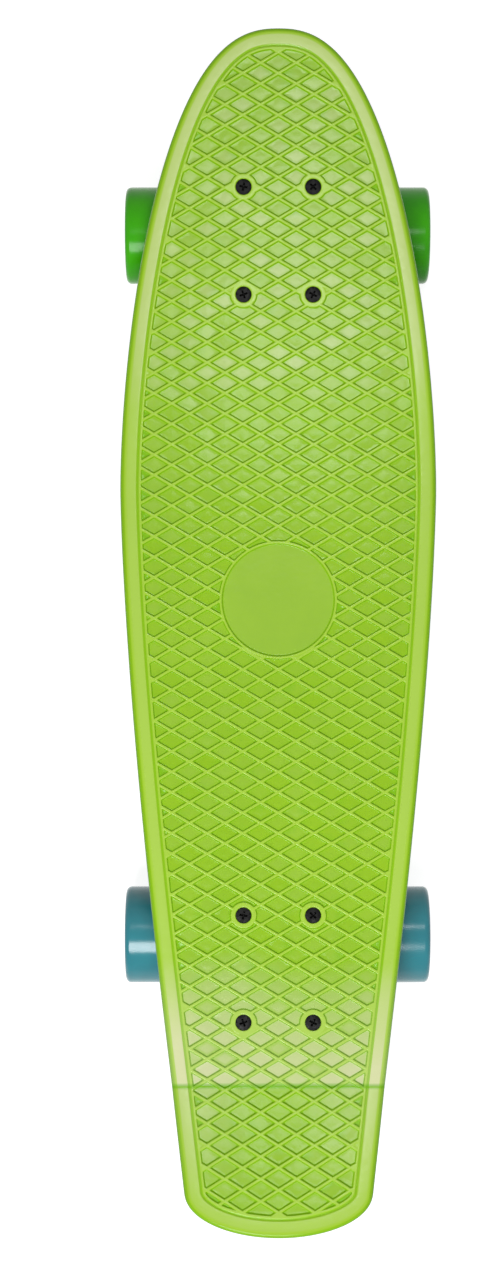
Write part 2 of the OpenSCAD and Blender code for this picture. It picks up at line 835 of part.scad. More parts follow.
at_wheel(front_y, -1) wheel("ForestGreen");  // front_left_wheel
at_wheel(front_y, -1) outer_races();  // front_left_outer_races
at_wheel(front_y, -1) inner_races();  // front_left_inner_races
at_wheel(front_y, -1) balls();  // front_left_balls
at_wheel(front_y, -1) cages();  // front_left_cages
at_wheel(front_y, -1) shields();  // front_left_shields
at_wheel(front_y, -1) spacer();  // front_left_spacer

at_wheel(front_y, 1) wheel("ForestGreen");  // front_right_wheel
at_wheel(front_y, 1) outer_races();  // front_right_outer_races
at_wheel(front_y, 1) inner_races();  // front_right_inner_races
at_wheel(front_y, 1) balls();  // front_right_balls
at_wheel(front_y, 1) cages();  // front_right_cages
at_wheel(front_y, 1) shields();  // front_right_shields
at_wheel(front_y, 1) spacer();  // front_right_spacer

at_wheel(rear_y, -1) wheel("DarkCyan");  // rear_left_wheel
at_wheel(rear_y, -1) outer_races();  // rear_left_outer_races
at_wheel(rear_y, -1) inner_races();  // rear_left_inner_races
at_wheel(rear_y, -1) balls();  // rear_left_balls
at_wheel(rear_y, -1) cages();  // rear_left_cages
at_wheel(rear_y, -1) shields();  // rear_left_shields
at_wheel(rear_y, -1) spacer();  // rear_left_spacer

at_wheel(rear_y, 1) wheel("DarkCyan");  // rear_right_wheel
at_wheel(rear_y, 1) outer_races();  // rear_right_outer_races
at_wheel(rear_y, 1) inner_races();  // rear_right_inner_races
at_wheel(rear_y, 1) balls();  // rear_right_balls
at_wheel(rear_y, 1) cages();  // rear_right_cages
at_wheel(rear_y, 1) shields();  // rear_right_shields
at_wheel(rear_y, 1) spacer();  // rear_right_spacer
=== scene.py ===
# %% [markdown]
# # A moulded plastic cruiser skateboard, dressed for its picture
# The packed model already holds every piece at its real size: the deck, the bolts, two steering
# trucks, four wheels and their bearings. This lesson gives those pieces their surfaces. Where a
# piece needs softer edges or finer relief than its construction solid has, a new mesh is built
# for it and rides on the same body, so that it still steers and spins as the real one does.

# %% Load the packed model
import math

import bmesh
import bpy
import numpy as np
from mathutils import Matrix, Vector, geometry, kdtree


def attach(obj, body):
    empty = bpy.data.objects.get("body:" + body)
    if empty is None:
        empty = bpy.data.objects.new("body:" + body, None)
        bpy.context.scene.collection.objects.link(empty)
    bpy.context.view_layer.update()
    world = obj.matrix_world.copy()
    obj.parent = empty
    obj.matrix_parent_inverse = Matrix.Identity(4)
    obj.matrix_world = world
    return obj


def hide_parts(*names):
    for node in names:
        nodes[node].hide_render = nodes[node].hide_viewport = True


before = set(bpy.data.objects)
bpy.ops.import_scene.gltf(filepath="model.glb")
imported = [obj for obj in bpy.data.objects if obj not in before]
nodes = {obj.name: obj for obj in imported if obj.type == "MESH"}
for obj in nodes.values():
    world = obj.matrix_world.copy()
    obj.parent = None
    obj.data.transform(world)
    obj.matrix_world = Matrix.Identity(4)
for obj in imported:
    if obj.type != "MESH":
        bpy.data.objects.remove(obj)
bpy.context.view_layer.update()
MM = 0.001

# %% [markdown]
# ## The camera
# The board is looked at from straight above, a little over a metre and a half off the ground,
# which is about where a tall person's eyes are. The lens is a moderate tele lens, so the wheels
# stand out beside the deck only a little. A camera at rest in Blender looks down its own -Z with
# its +Y up, so over a board whose nose points to +Y it needs no turning at all.

# %% Camera
CAMERA_PLACE = (-0.0168, -0.0062, 1.593)
scene = bpy.context.scene


def in_scene(name, data):
    """A new object for some data, linked into the scene."""
    made = bpy.data.objects.new(name, data)
    scene.collection.objects.link(made)
    return made


lens = bpy.data.cameras.new("overhead_lens")
lens.sensor_fit = "VERTICAL"
lens.sensor_height = 36
lens.lens = 71.2
overhead = in_scene("overhead_camera", lens)
overhead.location = CAMERA_PLACE
scene.camera = overhead
scene.view_settings.view_transform = "Standard"
print("camera", CAMERA_PLACE, "lens", round(lens.lens, 1), "mm")

# %% [markdown]
# ## Small helpers for materials
# A material in Blender is a small graph. Each finish below needs the same few building blocks: a
# principled shader with its plain numbers set on its own sockets, a noise texture in object
# space, a colour ramp and a bump node. Naming them once keeps every finish short to read.

# %% Colours


def srgb(red, green, blue):
    """A colour as painters write it, 0 to 255, as the linear values that shaders want."""
    def linear(part):
        part /= 255
        return part / 12.92 if part <= 0.04045 else ((part + 0.055) / 1.055) ** 2.4
    return (linear(red), linear(green), linear(blue), 1)


def grey(part):
    """A grey as a linear value."""
    return (part, part, part, 1)


print("half grey, as a shader wants it:", round(srgb(128, 128, 128)[0], 3))

# %% A finish


class Finish:
    """A material's graph, with a method for each building block."""

    def __init__(self, name, **sockets):
        self.material = bpy.data.materials.new(name)
        self.material.use_nodes = True
        self.tree = self.material.node_tree
        self.shader = self.tree.nodes["Principled BSDF"]
        for socket, value in sockets.items():
            self.shader.inputs[socket.replace("_", " ")].default_value = value
        self.place = self.tree.nodes.new("ShaderNodeTexCoord").outputs["Object"]

    def node(self, kind, inputs=None, **settings):
        """A new node, with some of its inputs linked or set."""
        made = self.tree.nodes.new("ShaderNode" + kind)
        for setting, value in settings.items():
            setattr(made, setting, value)
        for socket, value in (inputs or {}).items():
            self.feed(made.inputs[socket], value)
        return made

    def feed(self, socket, value):
        """Links a socket to an output, or sets its plain value."""
        if isinstance(value, bpy.types.NodeSocket):
            self.tree.links.new(value, socket)
        else:
            socket.default_value = value

    def noise(self, scale, detail=4, roughness=0.5, vector=None):
        """Cloudy values about 0.5; a scale of 100 makes clouds a centimetre across."""
        return self.node("TexNoise", {"Vector": vector or self.place, "Scale": scale,
                                      "Detail": detail, "Roughness": roughness}).outputs["Fac"]

    def carried(self, name):
        """A number that the mesh itself carries at every point."""
        return self.node("Attribute", attribute_name=name).outputs["Fac"]

    def ramp(self, value, *stops):
        """A colour for each value, from stops of (position, colour)."""
        made = self.node("ValToRGB", {"Fac": value})
        band = made.color_ramp.elements
        while len(band) < len(stops):
            band.new(0.5)
        for stop, (position, colour) in zip(band, stops):
            stop.position = position
            stop.color = colour
        return made.outputs["Color"]

    def level(self, value, low, high, start=0.0, end=1.0):
        """value from low to high becomes start to end."""
        return self.node("MapRange", {"Value": value, "From Min": low, "From Max": high,
                                      "To Min": start, "To Max": end}).outputs["Result"]

    def sums(self, operation, first, second):
        """Arithmetic on two values."""
        made = self.node("Math", operation=operation)
        self.feed(made.inputs[0], first)
        self.feed(made.inputs[1], second)
        return made.outputs[0]

    def times(self, first, second):
        return self.sums("MULTIPLY", first, second)

    def size_of(self, value):
        """The value without its sign."""
        return self.sums("ABSOLUTE", value, 0.0)

    def mix(self, share, first, second):
        """The first colour, with a share of the second over it."""
        made = self.node("Mix", data_type="RGBA")
        # A Mix node keeps its colour sockets behind those for numbers and vectors
        for socket, value in ((0, share), (6, first), (7, second)):
            self.feed(made.inputs[socket], value)
        return made.outputs[2]

    def bump(self, height, distance, strength=1.0, normal=None):
        """Fine relief, the distance in metres, on top of another normal if one is given."""
        made = self.node("Bump", {"Height": height, "Distance": distance, "Strength": strength})
        if normal:
            self.feed(made.inputs["Normal"], normal)
        return made.outputs["Normal"]

    def set(self, **sockets):
        """Feeds the shader's sockets by name, _ standing for a space."""
        for socket, value in sockets.items():
            self.feed(self.shader.inputs[socket.replace("_", " ")], value)
        return self


print("a finish can:", [name for name in vars(Finish) if name[0] != "_"])

# %% [markdown]
# ## The deck's outline
# The deck is drawn by the same few numbers that a mould maker would use: widths at a few places
# and the way the sides draw in. The nose is a full, blunt curve, the sides taper gently back, and
# the tail ends in two round corners. All of it is worked out in millimetres and becomes metres
# only when the mesh is finished. A traced curve would do for one board, but a formula lets the
# width at any place be asked for, which the loops and the pockets need.

# %% Outline of the deck
DECK_W = 188
NOSE_LEN, WHEELBASE, TAIL_LEN = 124.5, 432, 152.5
WIDEST_BACK = 147
TAIL_W, TAIL_CORNER = 104, 24
DISC_FWD = 3
# How full and how blunt the nose is, how late the sides draw in, how full the tail's corners are
NOSE_FULL, NOSE_BLUNT, SIDE_DRAW, CORNER_FULL = 1.75, 0.41, 1.46, 2.2
NOSE_Y = (NOSE_LEN + WHEELBASE + TAIL_LEN) / 2
TAIL_Y = -NOSE_Y
FRONT_Y = NOSE_Y - NOSE_LEN
REAR_Y = TAIL_Y + TAIL_LEN
WIDEST_Y = FRONT_Y - WIDEST_BACK
DISC_Y = (FRONT_Y + REAR_Y) / 2 + DISC_FWD


def half_width(y):
    """Half of the deck's width at a place along it."""
    if y > WIDEST_Y:
        share = (y - WIDEST_Y) / (NOSE_Y - WIDEST_Y)
        return DECK_W / 2 * max(0, 1 - share ** NOSE_FULL) ** NOSE_BLUNT
    back = (WIDEST_Y - y) / (WIDEST_Y - TAIL_Y)
    drawn = (DECK_W - TAIL_W) / 2 * back ** SIDE_DRAW
    corner = min(1, (y - TAIL_Y) / TAIL_CORNER)
    return (DECK_W / 2 - drawn) * math.sqrt(max(0, 1 - (1 - corner) ** CORNER_FULL))


print("width over the trucks:", [round(2 * half_width(y), 1) for y in (FRONT_Y, REAR_Y)], "mm")

# %% Points along the outline


def resample(loop, count):
    """A closed loop of points as count points, evenly spaced along it."""
    closed = np.vstack([loop, loop[:1]])
    along = np.concatenate([[0], np.cumsum(np.hypot(*np.diff(closed, axis=0).T))])
    stops = np.linspace(0, along[-1], count, endpoint=False)
    return np.column_stack([np.interp(stops, along, closed[:, axis]) for axis in (0, 1)])


# Points of every loop of the rim, and how many times finer the outline itself is drawn
STATIONS, FINE = 760, 6
turns = np.linspace(-math.pi / 2, math.pi / 2, 2400)
right_side = np.array([(half_width(y), y) for y in NOSE_Y * np.sin(turns)])
left_side = right_side[-2:0:-1] * (-1, 1)
outline = resample(np.vstack([right_side, left_side]), STATIONS * FINE)
print("outline", len(outline), "points,", DECK_W, "x", NOSE_Y - TAIL_Y, "mm")

# %% [markdown]
# ## Loops inside the outline
# The border band, its groove, the frame rib and the rim are all the same outline moved inwards.
# Moving each point along its own normal does that. In the tail's tight corners the moved points
# cross over each other, so any point that ends up too close to the outline is thrown away.

# %% Loops at a distance inside the outline
# Loops nearer to the outline than this can't cross themselves
CROSSES_FROM = 8
ahead = np.roll(outline, -FINE, axis=0) - np.roll(outline, FINE, axis=0)
inwards = np.column_stack([-ahead[:, 1], ahead[:, 0]]) / np.hypot(*ahead.T)[:, None]
outline_tree = kdtree.KDTree(len(outline))
for i, (x, y) in enumerate(outline):
    outline_tree.insert((x, y, 0), i)
outline_tree.balance()


def inset_loop(inset):
    """The outline moved inwards, with as many points as the other loops of the rim."""
    moved = (outline + inwards * inset)[::FINE]
    if inset < CROSSES_FROM:
        return moved
    kept = [p for p in moved if outline_tree.find((*p, 0))[2] > inset - 0.02]
    return resample(np.array(kept), STATIONS)


print("frame rib loop", len(inset_loop(11.65)), "points")

# %% [markdown]
# ## Cells of the waffle
# The grip is a lattice of thin round-topped ribs with a pocket in every diamond. Cutting some
# eight hundred pockets out of a slab with booleans would leave hard edges and ragged shading.
# Here each pocket is a nest of polygons instead: one on the ribs' crest lines, then a few more
# towards its middle, each a little deeper. Neighbouring polygons are sewn together like the
# courses of a basket. A pocket cut short by the frame, a bolt collar or the medallion is only a
# clipped polygon, so the same steps build it.

# %% Cutting a polygon along a line


def clip_line(polygon, normal, reach):
    """The part of a convex polygon where normal . p <= reach."""
    kept = []
    for (ax, ay), (bx, by) in zip(polygon, polygon[1:] + polygon[:1]):
        at_a = normal[0] * ax + normal[1] * ay - reach
        at_b = normal[0] * bx + normal[1] * by - reach
        if at_a <= 0:
            kept.append((ax, ay))
        if at_a * at_b < 0:
            t = at_a / (at_a - at_b)
            kept.append((ax + t * (bx - ax), ay + t * (by - ay)))
    return kept


square = [(0, 0), (2, 0), (2, 2), (0, 2)]
print("half a square:", clip_line(square, (1, 0), 1))

# %% Cutting a circle out of a polygon


# No pocket is larger than this, so one whose corners all lie further off is clear of a circle
POCKET_SPAN = 25


def clip_circle(polygon, centre, radius, sides=48):
    """The parts of a polygon that lie outside a circle, whose arcs pass its regular corners."""
    cx, cy = centre
    if min(math.hypot(x - cx, y - cy) for x, y in polygon) > radius + POCKET_SPAN:
        return [polygon]
    # The polygon's corners and its crossings with the circle, in order round it
    walk = []
    for (ax, ay), (bx, by) in zip(polygon, polygon[1:] + polygon[:1]):
        dx, dy = bx - ax, by - ay
        fx, fy = ax - cx, ay - cy
        walk.append((ax, ay, math.hypot(fx, fy) >= radius, False))
        a, b, c = dx * dx + dy * dy, fx * dx + fy * dy, fx * fx + fy * fy - radius * radius
        if a > 1e-12 and b * b > a * c:
            root = math.sqrt(b * b - a * c)
            for t in ((-b - root) / a, (-b + root) / a):
                if 0 < t < 1:
                    walk.append((ax + t * dx, ay + t * dy, True, True))
    crossings = [i for i, w in enumerate(walk) if w[3]]
    if not crossings:
        return [polygon] if walk[0][2] else []
    parts = []
    n = len(walk)
    for i in crossings:
        part = [walk[i][:2]]
        j = (i + 1) % n
        if not walk[j][3] and not walk[j][2]:
            continue
        middle = ((walk[i][0] + walk[j][0]) / 2 - cx, (walk[i][1] + walk[j][1]) / 2 - cy)
        if walk[j][3] and math.hypot(*middle) < radius:
            continue
        while not walk[j][3]:
            part.append(walk[j][:2])
            j = (j + 1) % n
        part.append(walk[j][:2])
        # The part closes along the circle, through the regular corners between its ends
        start = math.atan2(part[-1][1] - cy, part[-1][0] - cx)
        end = math.atan2(part[0][1] - cy, part[0][0] - cx)
        while end > start + 1e-6:
            end -= math.tau
        if start - end > 1.4 * math.pi:
            end = start
        step = math.tau / sides
        k = math.ceil(start / step - 1e-6) - 1
        while k * step > end + 1e-6:
            part.append((cx + radius * math.cos(k * step), cy + radius * math.sin(k * step)))
            k -= 1
        parts.append(part)
    return parts


print("a square without a quarter circle:", len(clip_circle(square, (0, 0), 1)[0]), "corners")

# %% Area, inside and round corners


def area(polygon):
    """Its size, above 0 when it runs anticlockwise."""
    return sum(ax * by - bx * ay for (ax, ay), (bx, by)
               in zip(polygon, polygon[1:] + polygon[:1])) / 2


def holds(polygon, place):
    """Whether a place lies inside a polygon."""
    within = False
    for (ax, ay), (bx, by) in zip(polygon, polygon[1:] + polygon[:1]):
        if (ay > place[1]) != (by > place[1]):
            within ^= place[0] < ax + (place[1] - ay) / (by - ay) * (bx - ax)
    return within


def round_corners(polygon, radius):
    """Each sharp corner becomes three points on a small curve."""
    rounded = []
    n = len(polygon)
    for i, (x, y) in enumerate(polygon):
        px, py = polygon[i - 1][0] - x, polygon[i - 1][1] - y
        qx, qy = polygon[(i + 1) % n][0] - x, polygon[(i + 1) % n][1] - y
        lp, lq = math.hypot(px, py), math.hypot(qx, qy)
        if lp < 1e-6 or lq < 1e-6:
            continue
        opening = math.acos(max(-1, min(1, (px * qx + py * qy) / (lp * lq))))
        if opening > math.radians(155) or radius <= 0:
            rounded.append((x, y))
            continue
        back = min(radius / math.tan(opening / 2), 0.45 * lp, 0.45 * lq)
        p = (x + px / lp * back, y + py / lp * back)
        q = (x + qx / lq * back, y + qy / lq * back)
        middle = tuple((p[k] + q[k]) / 4 + (x, y)[k] / 2 for k in (0, 1))
        rounded += [p, middle, q]
    return rounded


print("a round-cornered square:", round(area(round_corners(square, 0.5)), 3), "of", area(square))

# %% [markdown]
# ## Sheets of points and faces
# A polygon on its own knows nothing of its neighbours. A sheet keeps one list of points and lets
# every face name the points it joins, as a mesh does, so that two pieces that share a loop of
# points are sewn together for good. It is lighter than a bmesh while the deck is still flat, and
# it becomes one at the end.

# %% A sheet collects points and faces


class Sheet:
    """Points as (x, y, drop below the deck's top face) and faces that join them."""

    def __init__(self):
        self.points = []
        self.faces = []

    def loop(self, polygon, drop):
        """Adds a polygon's corners at one drop, and returns their numbers."""
        first = len(self.points)
        self.points += [(x, y, drop) for x, y in polygon]
        return list(range(first, len(self.points)))

    def band(self, outer, inner):
        """Sews an inner loop into an outer one, both running the same way round."""
        n, m = len(outer), len(inner)
        near = min(range(m), key=lambda j: self.gap(outer[0], inner[j]))
        inner = inner[near:] + inner[:near]
        i = j = 0
        while i < n or j < m:
            a, b = outer[i % n], inner[j % m]
            next_a, next_b = outer[(i + 1) % n], inner[(j + 1) % m]
            if j == m or (i < n and self.gap(next_a, b) <= self.gap(a, next_b)):
                self.faces.append((a, next_a, b))
                i += 1
            else:
                self.faces.append((a, next_b, b))
                j += 1

    def gap(self, a, b):
        """The square of the distance between two points, seen from above."""
        (ax, ay, _), (bx, by, _) = self.points[a], self.points[b]
        return (ax - bx) ** 2 + (ay - by) ** 2

    def fan(self, ring, drop):
        """Closes a ring with a point in its middle."""
        middle = np.mean([self.points[i] for i in ring], axis=0)
        self.points.append((middle[0], middle[1], drop))
        top = len(self.points) - 1
        for a, b in zip(ring, ring[1:] + ring[:1]):
            self.faces.append((a, b, top))

    def fill(self, outer, inners):
        """Fills the space between a ring and any number of rings inside it."""
        loops = [outer] + inners
        origin = [i for loop in loops for i in loop]
        starts = np.cumsum([0] + [len(loop) for loop in loops])
        outlines = [list(range(a, b)) for a, b in zip(starts, starts[1:])]
        flat = [Vector(self.points[i][:2]) for i in origin]
        filled = geometry.delaunay_2d_cdt(flat, [], outlines, 1, 1e-6, True)
        web = [face for face, owners in zip(filled[2], filled[5]) if list(owners) == [0]]
        for face in web:
            self.faces.append([origin[filled[3][i][0]] for i in face])
        return len(web)

    def lid(self, ring):
        """Closes a ring with a flat floor."""
        flat = [Vector((self.points[i][0], self.points[i][1], 0)) for i in ring]
        for tri in geometry.tessellate_polygon([flat]):
            face = [ring[k] for k in tri]
            if area([self.points[k][:2] for k in face]) < 0:
                face.reverse()
            self.faces.append(tuple(face))


basket = Sheet()
basket.band(basket.loop(square, 0), basket.loop(round_corners(square, 0.5), 1))
print("a square sewn to a round-cornered one:", len(basket.faces), "faces")

# %% [markdown]
# ## The pockets and the frame round them
# Every pocket is the same nest, moved to its place and cut short where the frame, a collar or the
# medallion is near. The ribs are two millimetres wide and the pockets just over one deep, with a
# soft pillow in the middle of each floor. No two pockets of a real moulding catch the light
# alike, so every floor is tilted by about a degree. Each pocket also draws a number for the
# painted sheen that lies on it, a painted reflection of the lamps. The sheet's points on the
# floors keep that number, with a second one that tells how clear of the wall they are, and the
# plastic's finish reads both later.

# %% Lattice, rings and nest
CELL_W, CELL_L, LATTICE_FWD = 21.1, 12.15, 0.9
LATTICE_Y = FRONT_Y + LATTICE_FWD
FRAME_CREST = 11.65
BOLT_DX, BOLT_DY = 41.3, 63.5
# Outer radius of a bolt collar and of the medallion's ring, and how far inside it the crest runs
COLLAR_R, DISC_R, RING_CREST = 15.5 / 2, 35, 0.85
# A radius that tells the medallion from the collars
BIG = 20
A, B = CELL_W / 2, CELL_L / 2
SLANT = math.hypot(A, B)
# Distance from the crest line, drop below it, and radius of the corners
NEST = [(0, 0, 0), (0.5, 0.03, 0.15), (0.78, 0.14, 0.35), (0.98, 0.62, 0.5), (1.2, 1.1, 0.6),
        (1.6, 1.2, 0.85), (3.3, 1.16, 1.4)]
FLOOR_LEVEL, PILLOW_TOP = 5, 1.1
# Smallest polygons worth keeping, on the walls and on the floor
LEAST_WALL, LEAST_FLOOR = 2.5, 9
bolt_places = [(x, truck_y + y) for truck_y in (FRONT_Y, REAR_Y)
               for y in (-BOLT_DY / 2, BOLT_DY / 2) for x in (-BOLT_DX / 2, BOLT_DX / 2)]
crest_holes = [((x, y), COLLAR_R - RING_CREST) for x, y in bolt_places]
crest_holes.append(((0, DISC_Y), DISC_R - RING_CREST))
print("crests run round", len(crest_holes), "circles")

# %% What is near a pocket


def diamond(x, y, inset):
    """A diamond round (x, y) whose sides are moved inwards from the crest lines."""
    share = 1 - inset * SLANT / (A * B)
    return [(x + A * share, y), (x, y + B * share), (x - A * share, y), (x, y - B * share)]


def diamond_lines(x, y, inset):
    """The same four sides as lines, each with its normal and its reach along it."""
    for sx, sy in ((1, 1), (-1, 1), (-1, -1), (1, -1)):
        normal = (sx * B / SLANT, sy * A / SLANT)
        yield normal, normal[0] * x + normal[1] * y + A * B / SLANT - inset


frame_loops = [[tuple(p) for p in inset_loop(FRAME_CREST + step[0])] for step in NEST]
cross_tree = kdtree.KDTree(STATIONS)
for i, p in enumerate(frame_loops[0]):
    cross_tree.insert((*p, 0), i)
cross_tree.balance()


def inside_frame(x, y):
    """How far a place lies inside the frame rib's crest."""
    (px, py, _), i, gap = cross_tree.find((x, y, 0))
    ax, ay = frame_loops[0][i - 1]
    bx, by = frame_loops[0][(i + 1) % STATIONS]
    side = (bx - ax) * (y - py) - (by - ay) * (x - px)
    return gap if side > 0 else -gap


print("the middle of the deck lies", round(inside_frame(0, 0), 1), "mm inside the frame rib")

# %% One pocket at one level
# Further from a circle than this, a pocket is left alone
CLEAR_BY = 4


def pocket_parts(x, y, level, near_frame):
    """The polygons of a pocket at one level of its nest, clipped by what is near it."""
    inset = NEST[level][0]
    if near_frame:
        polygon = frame_loops[level]
        for normal, reach in diamond_lines(x, y, inset):
            polygon = clip_line(polygon, normal, reach)
            if not polygon:
                return []
    else:
        polygon = diamond(x, y, inset)
    parts = [polygon]
    for centre, radius in crest_holes:
        reach_x, reach_y = A + radius + CLEAR_BY, B + radius + CLEAR_BY
        if abs(centre[0] - x) < reach_x and abs(centre[1] - y) < reach_y:
            sides = 96 if radius > BIG else 48
            parts = [piece for part in parts
                     for piece in clip_circle(part, centre, radius + inset, sides)]
    return [part for part in parts if len(part) > 2]


print("a whole pocket covers", round(area(pocket_parts(0, LATTICE_Y, 0, False)[0])), "square mm")

# %% Nest of one pocket
uneven = np.random.default_rng(28)
# The floors' tilt, and the least painted sheen that a pocket's floor can draw
TILT, LEAST_SHEEN = 0.016, 0.15
# Points of a whole diamond once its four corners are round
WHOLE = 12
# Painted sheen at points of the floors: its strength, and how clear of the wall each point lies
painted_sheen = {}


def sink_pocket(sheet, x, y, near_frame):
    """Adds one pocket's nest to the sheet, and returns its crest polygons."""
    tilt_x, tilt_y = uneven.normal(0, TILT, 2)
    # How strong the painted sheen on this pocket's floor is
    sheen_amount = uneven.uniform(LEAST_SHEEN, 1)
    crests = pocket_parts(x, y, 0, near_frame)
    rings = [(sheet.loop(crest, 0), crest) for crest in crests]
    for level, (inset, drop, radius) in enumerate(NEST[1:], 1):
        found = pocket_parts(x, y, level, near_frame)
        least = LEAST_WALL if level < FLOOR_LEVEL else LEAST_FLOOR
        found = [round_corners(part, radius) for part in found if area(part) > least]
        sunk = []
        for ring, polygon in rings:
            loops = []
            for inner in [part for part in found if holds(polygon, part[0])]:
                loop = sheet.loop(inner, drop)
                # The floor's points carry the pocket's painted sheen
                if level >= FLOOR_LEVEL:
                    clear = 0.5 if level == FLOOR_LEVEL else 1
                    painted_sheen.update(dict.fromkeys(loop, (sheen_amount, clear)))
                    for i in loop:
                        px, py, flat = sheet.points[i]
                        sheet.points[i] = (px, py, flat + (px - x) * tilt_x + (py - y) * tilt_y)
                loops.append(loop)
                sunk.append((loop, inner))
            if not loops:
                sheet.lid(ring)
            elif len(crests[0]) == 4:
                sheet.band(ring, loops[0])
            else:
                sheet.fill(ring, loops)
        rings = sunk
    for ring, polygon in rings:
        if near_frame or len(polygon) != WHOLE:
            sheet.lid(ring)
        else:
            sheet.fan(ring, PILLOW_TOP)
            # The floor's middle point carries the painted sheen too
            painted_sheen[len(sheet.points) - 1] = (sheen_amount, 1)
    return crests


print("a nest has", len(NEST), "levels")

# %% Where crests meet the frame and the circles
# Two places closer than this are the same
SAME = 1e-6
frame_stations = {}
hole_stations = [{} for _ in crest_holes]


def along_frame(x, y):
    """Where a point lies along the frame rib's crest loop, or None if it isn't on it."""
    i = cross_tree.find((x, y, 0))[1]
    for start in (i - 1, i):
        (ax, ay), (bx, by) = frame_loops[0][start], frame_loops[0][(start + 1) % STATIONS]
        length = math.hypot(bx - ax, by - ay)
        share = ((x - ax) * (bx - ax) + (y - ay) * (by - ay)) / length ** 2
        off = abs((bx - ax) * (y - ay) - (by - ay) * (x - ax)) / length
        if off < SAME and -SAME < share < 1 + SAME:
            return (start + share) % STATIONS
    return None


def note_stations(crest):
    """Remembers which crest points lie on the frame rib or on a circle, to sew those later."""
    for p in crest:
        along = along_frame(*p)
        if along is not None:
            frame_stations[round(along, 5)] = p
        for stations, ((cx, cy), radius) in zip(hole_stations, crest_holes):
            if abs(math.hypot(p[0] - cx, p[1] - cy) - radius) < SAME:
                stations[round(math.atan2(p[1] - cy, p[0] - cx) % math.tau, 5)] = p


print("the frame rib begins at", round(along_frame(*frame_loops[0][0]), 3))

# %% Every pocket of the waffle
top = Sheet()
NEAR_FRAME = 4
rows_up = int((NOSE_Y - LATTICE_Y) / B) + 1
rows_down = int((LATTICE_Y - TAIL_Y) / B) + 1
columns = int(DECK_W / 2 / A) + 1
pockets = 0
for row in range(-rows_down, rows_up + 1):
    for column in range(-columns, columns + 1):
        x, y = column * A, LATTICE_Y + row * B
        corners = [inside_frame(*p) for p in diamond(x, y, 0)]
        if (row + column) % 2 == 0 or max(corners) < -CELL_W:
            continue
        for crest in sink_pocket(top, x, y, near_frame=min(corners) < NEAR_FRAME):
            note_stations(crest)
            pockets += 1
print(pockets, "pockets,", len(top.faces), "faces,", len(frame_stations), "frame stations")

# %% [markdown]
# ## Frame, band and rim
# Outside the waffle come the frame rib, a fine groove, the smooth band and the round edge. A
# profile swept along the outline would do for these, but its ends would still have to be joined
# to the ragged edge of the waffle. As loops they join by the same sewing: each is one more loop
# further out and a little lower or higher, so a short list of distances and drops says it all.

# %% Frame rib, groove, band and rim
DECK_T = 11
RIM_TOP, RIM_LOW = 3.2, 2.5
# Where the smooth band lies, and its drop where the rim's curve takes over
SMOOTH_OUT, SMOOTH_IN, RIM_DROP = 4, 9.5, 0.08
# Strength of the painted sheen on the smooth band
BAND_SHEEN = 0.9
# Distance inside the outline, and drop
BAND = [(11.2, 0.05), (10.85, 0.3), (10.45, 0.5), (10.1, 0.46), (9.7, 0.2), (9.3, 0.06),
        (8.8, 0.02), (6.4, 0.02), (4.2, 0.04)]
rim = [(RIM_TOP * (1 - math.sin(a)), RIM_DROP + (RIM_TOP - RIM_DROP) * (1 - math.cos(a)))
       for a in np.radians([4, 17, 31, 46, 61, 76, 90])]
rim += [(RIM_LOW * (1 - math.cos(a)), DECK_T - RIM_LOW * (1 - math.sin(a)))
        for a in np.radians([0, 22.5, 45, 67.5, 90])]
crest_ring = top.loop([frame_stations[key] for key in sorted(frame_stations)], 0)
for inset, drop in BAND + rim:
    ring = top.loop(inset_loop(inset), drop)
    # The smooth band carries painted sheen
    if SMOOTH_OUT < inset < SMOOTH_IN:
        painted_sheen.update(dict.fromkeys(ring, (BAND_SHEEN, 1)))
    top.band(ring, crest_ring)
    crest_ring = ring
underside_edge = crest_ring
print("rim closed at", len(underside_edge), "points")

# %% [markdown]
# ## The side profile
# So far the deck is flat. Its side profile will lift it: the nose curves up gently, a ramp leads
# to the crease behind the rear truck, and the kicktail rises from there at nearly twenty degrees.
# A curve modifier could bend the finished mesh, but it would stretch the pockets too. Lifting
# each point straight up by a function of its place keeps the waffle's plan true. The bolt holes
# need the function already, because a screw's head sits level however the deck slopes round it.

# %% Profile of the deck
TOP_Z = 93
NOSE_RISE, NOSE_CURVE = 10, 205
CREASE_RISE, CREASE_BACK, RAMP_LEN = 4, 69, 94
KICK = math.tan(math.radians(19.8))
CREASE_Y = REAR_Y - CREASE_BACK
RAMP_Y = CREASE_Y + RAMP_LEN
CURVE_Y = NOSE_Y - NOSE_CURVE
CREASE_SOFT, RAMP_BEND = 0.9, 2.4


def rise(y):
    """Height of the top face over the middle of the deck."""
    if y > CURVE_Y:
        return NOSE_RISE * ((y - CURVE_Y) / NOSE_CURVE) ** 2
    if y > CREASE_Y + CREASE_SOFT:
        return CREASE_RISE * (max(0, RAMP_Y - y) / RAMP_LEN) ** RAMP_BEND
    reach = (RAMP_LEN - CREASE_SOFT) / RAMP_LEN
    start = CREASE_RISE * reach ** RAMP_BEND
    gentle = RAMP_BEND * start / (RAMP_LEN - CREASE_SOFT)
    back = CREASE_Y + CREASE_SOFT - y
    turned = min(back, 2 * CREASE_SOFT)
    return (start + gentle * turned + (KICK - gentle) * turned ** 2 / (4 * CREASE_SOFT)
            + KICK * (back - turned))


print("rise at the nose, the crease and the tail:",
      [round(rise(y), 1) for y in (NOSE_Y, CREASE_Y, TAIL_Y)], "mm")

# %% [markdown]
# ## Bolt collars and medallion
# A round collar stands about every bolt hole and carries the lattice past it, and a larger ring
# surrounds the bare medallion in the middle. Both were already cut out of the waffle, so here
# they are only filled: circles inside circles, each with a radius, a drop and a number of
# corners. Fewer corners further in keep the triangles about equally large.

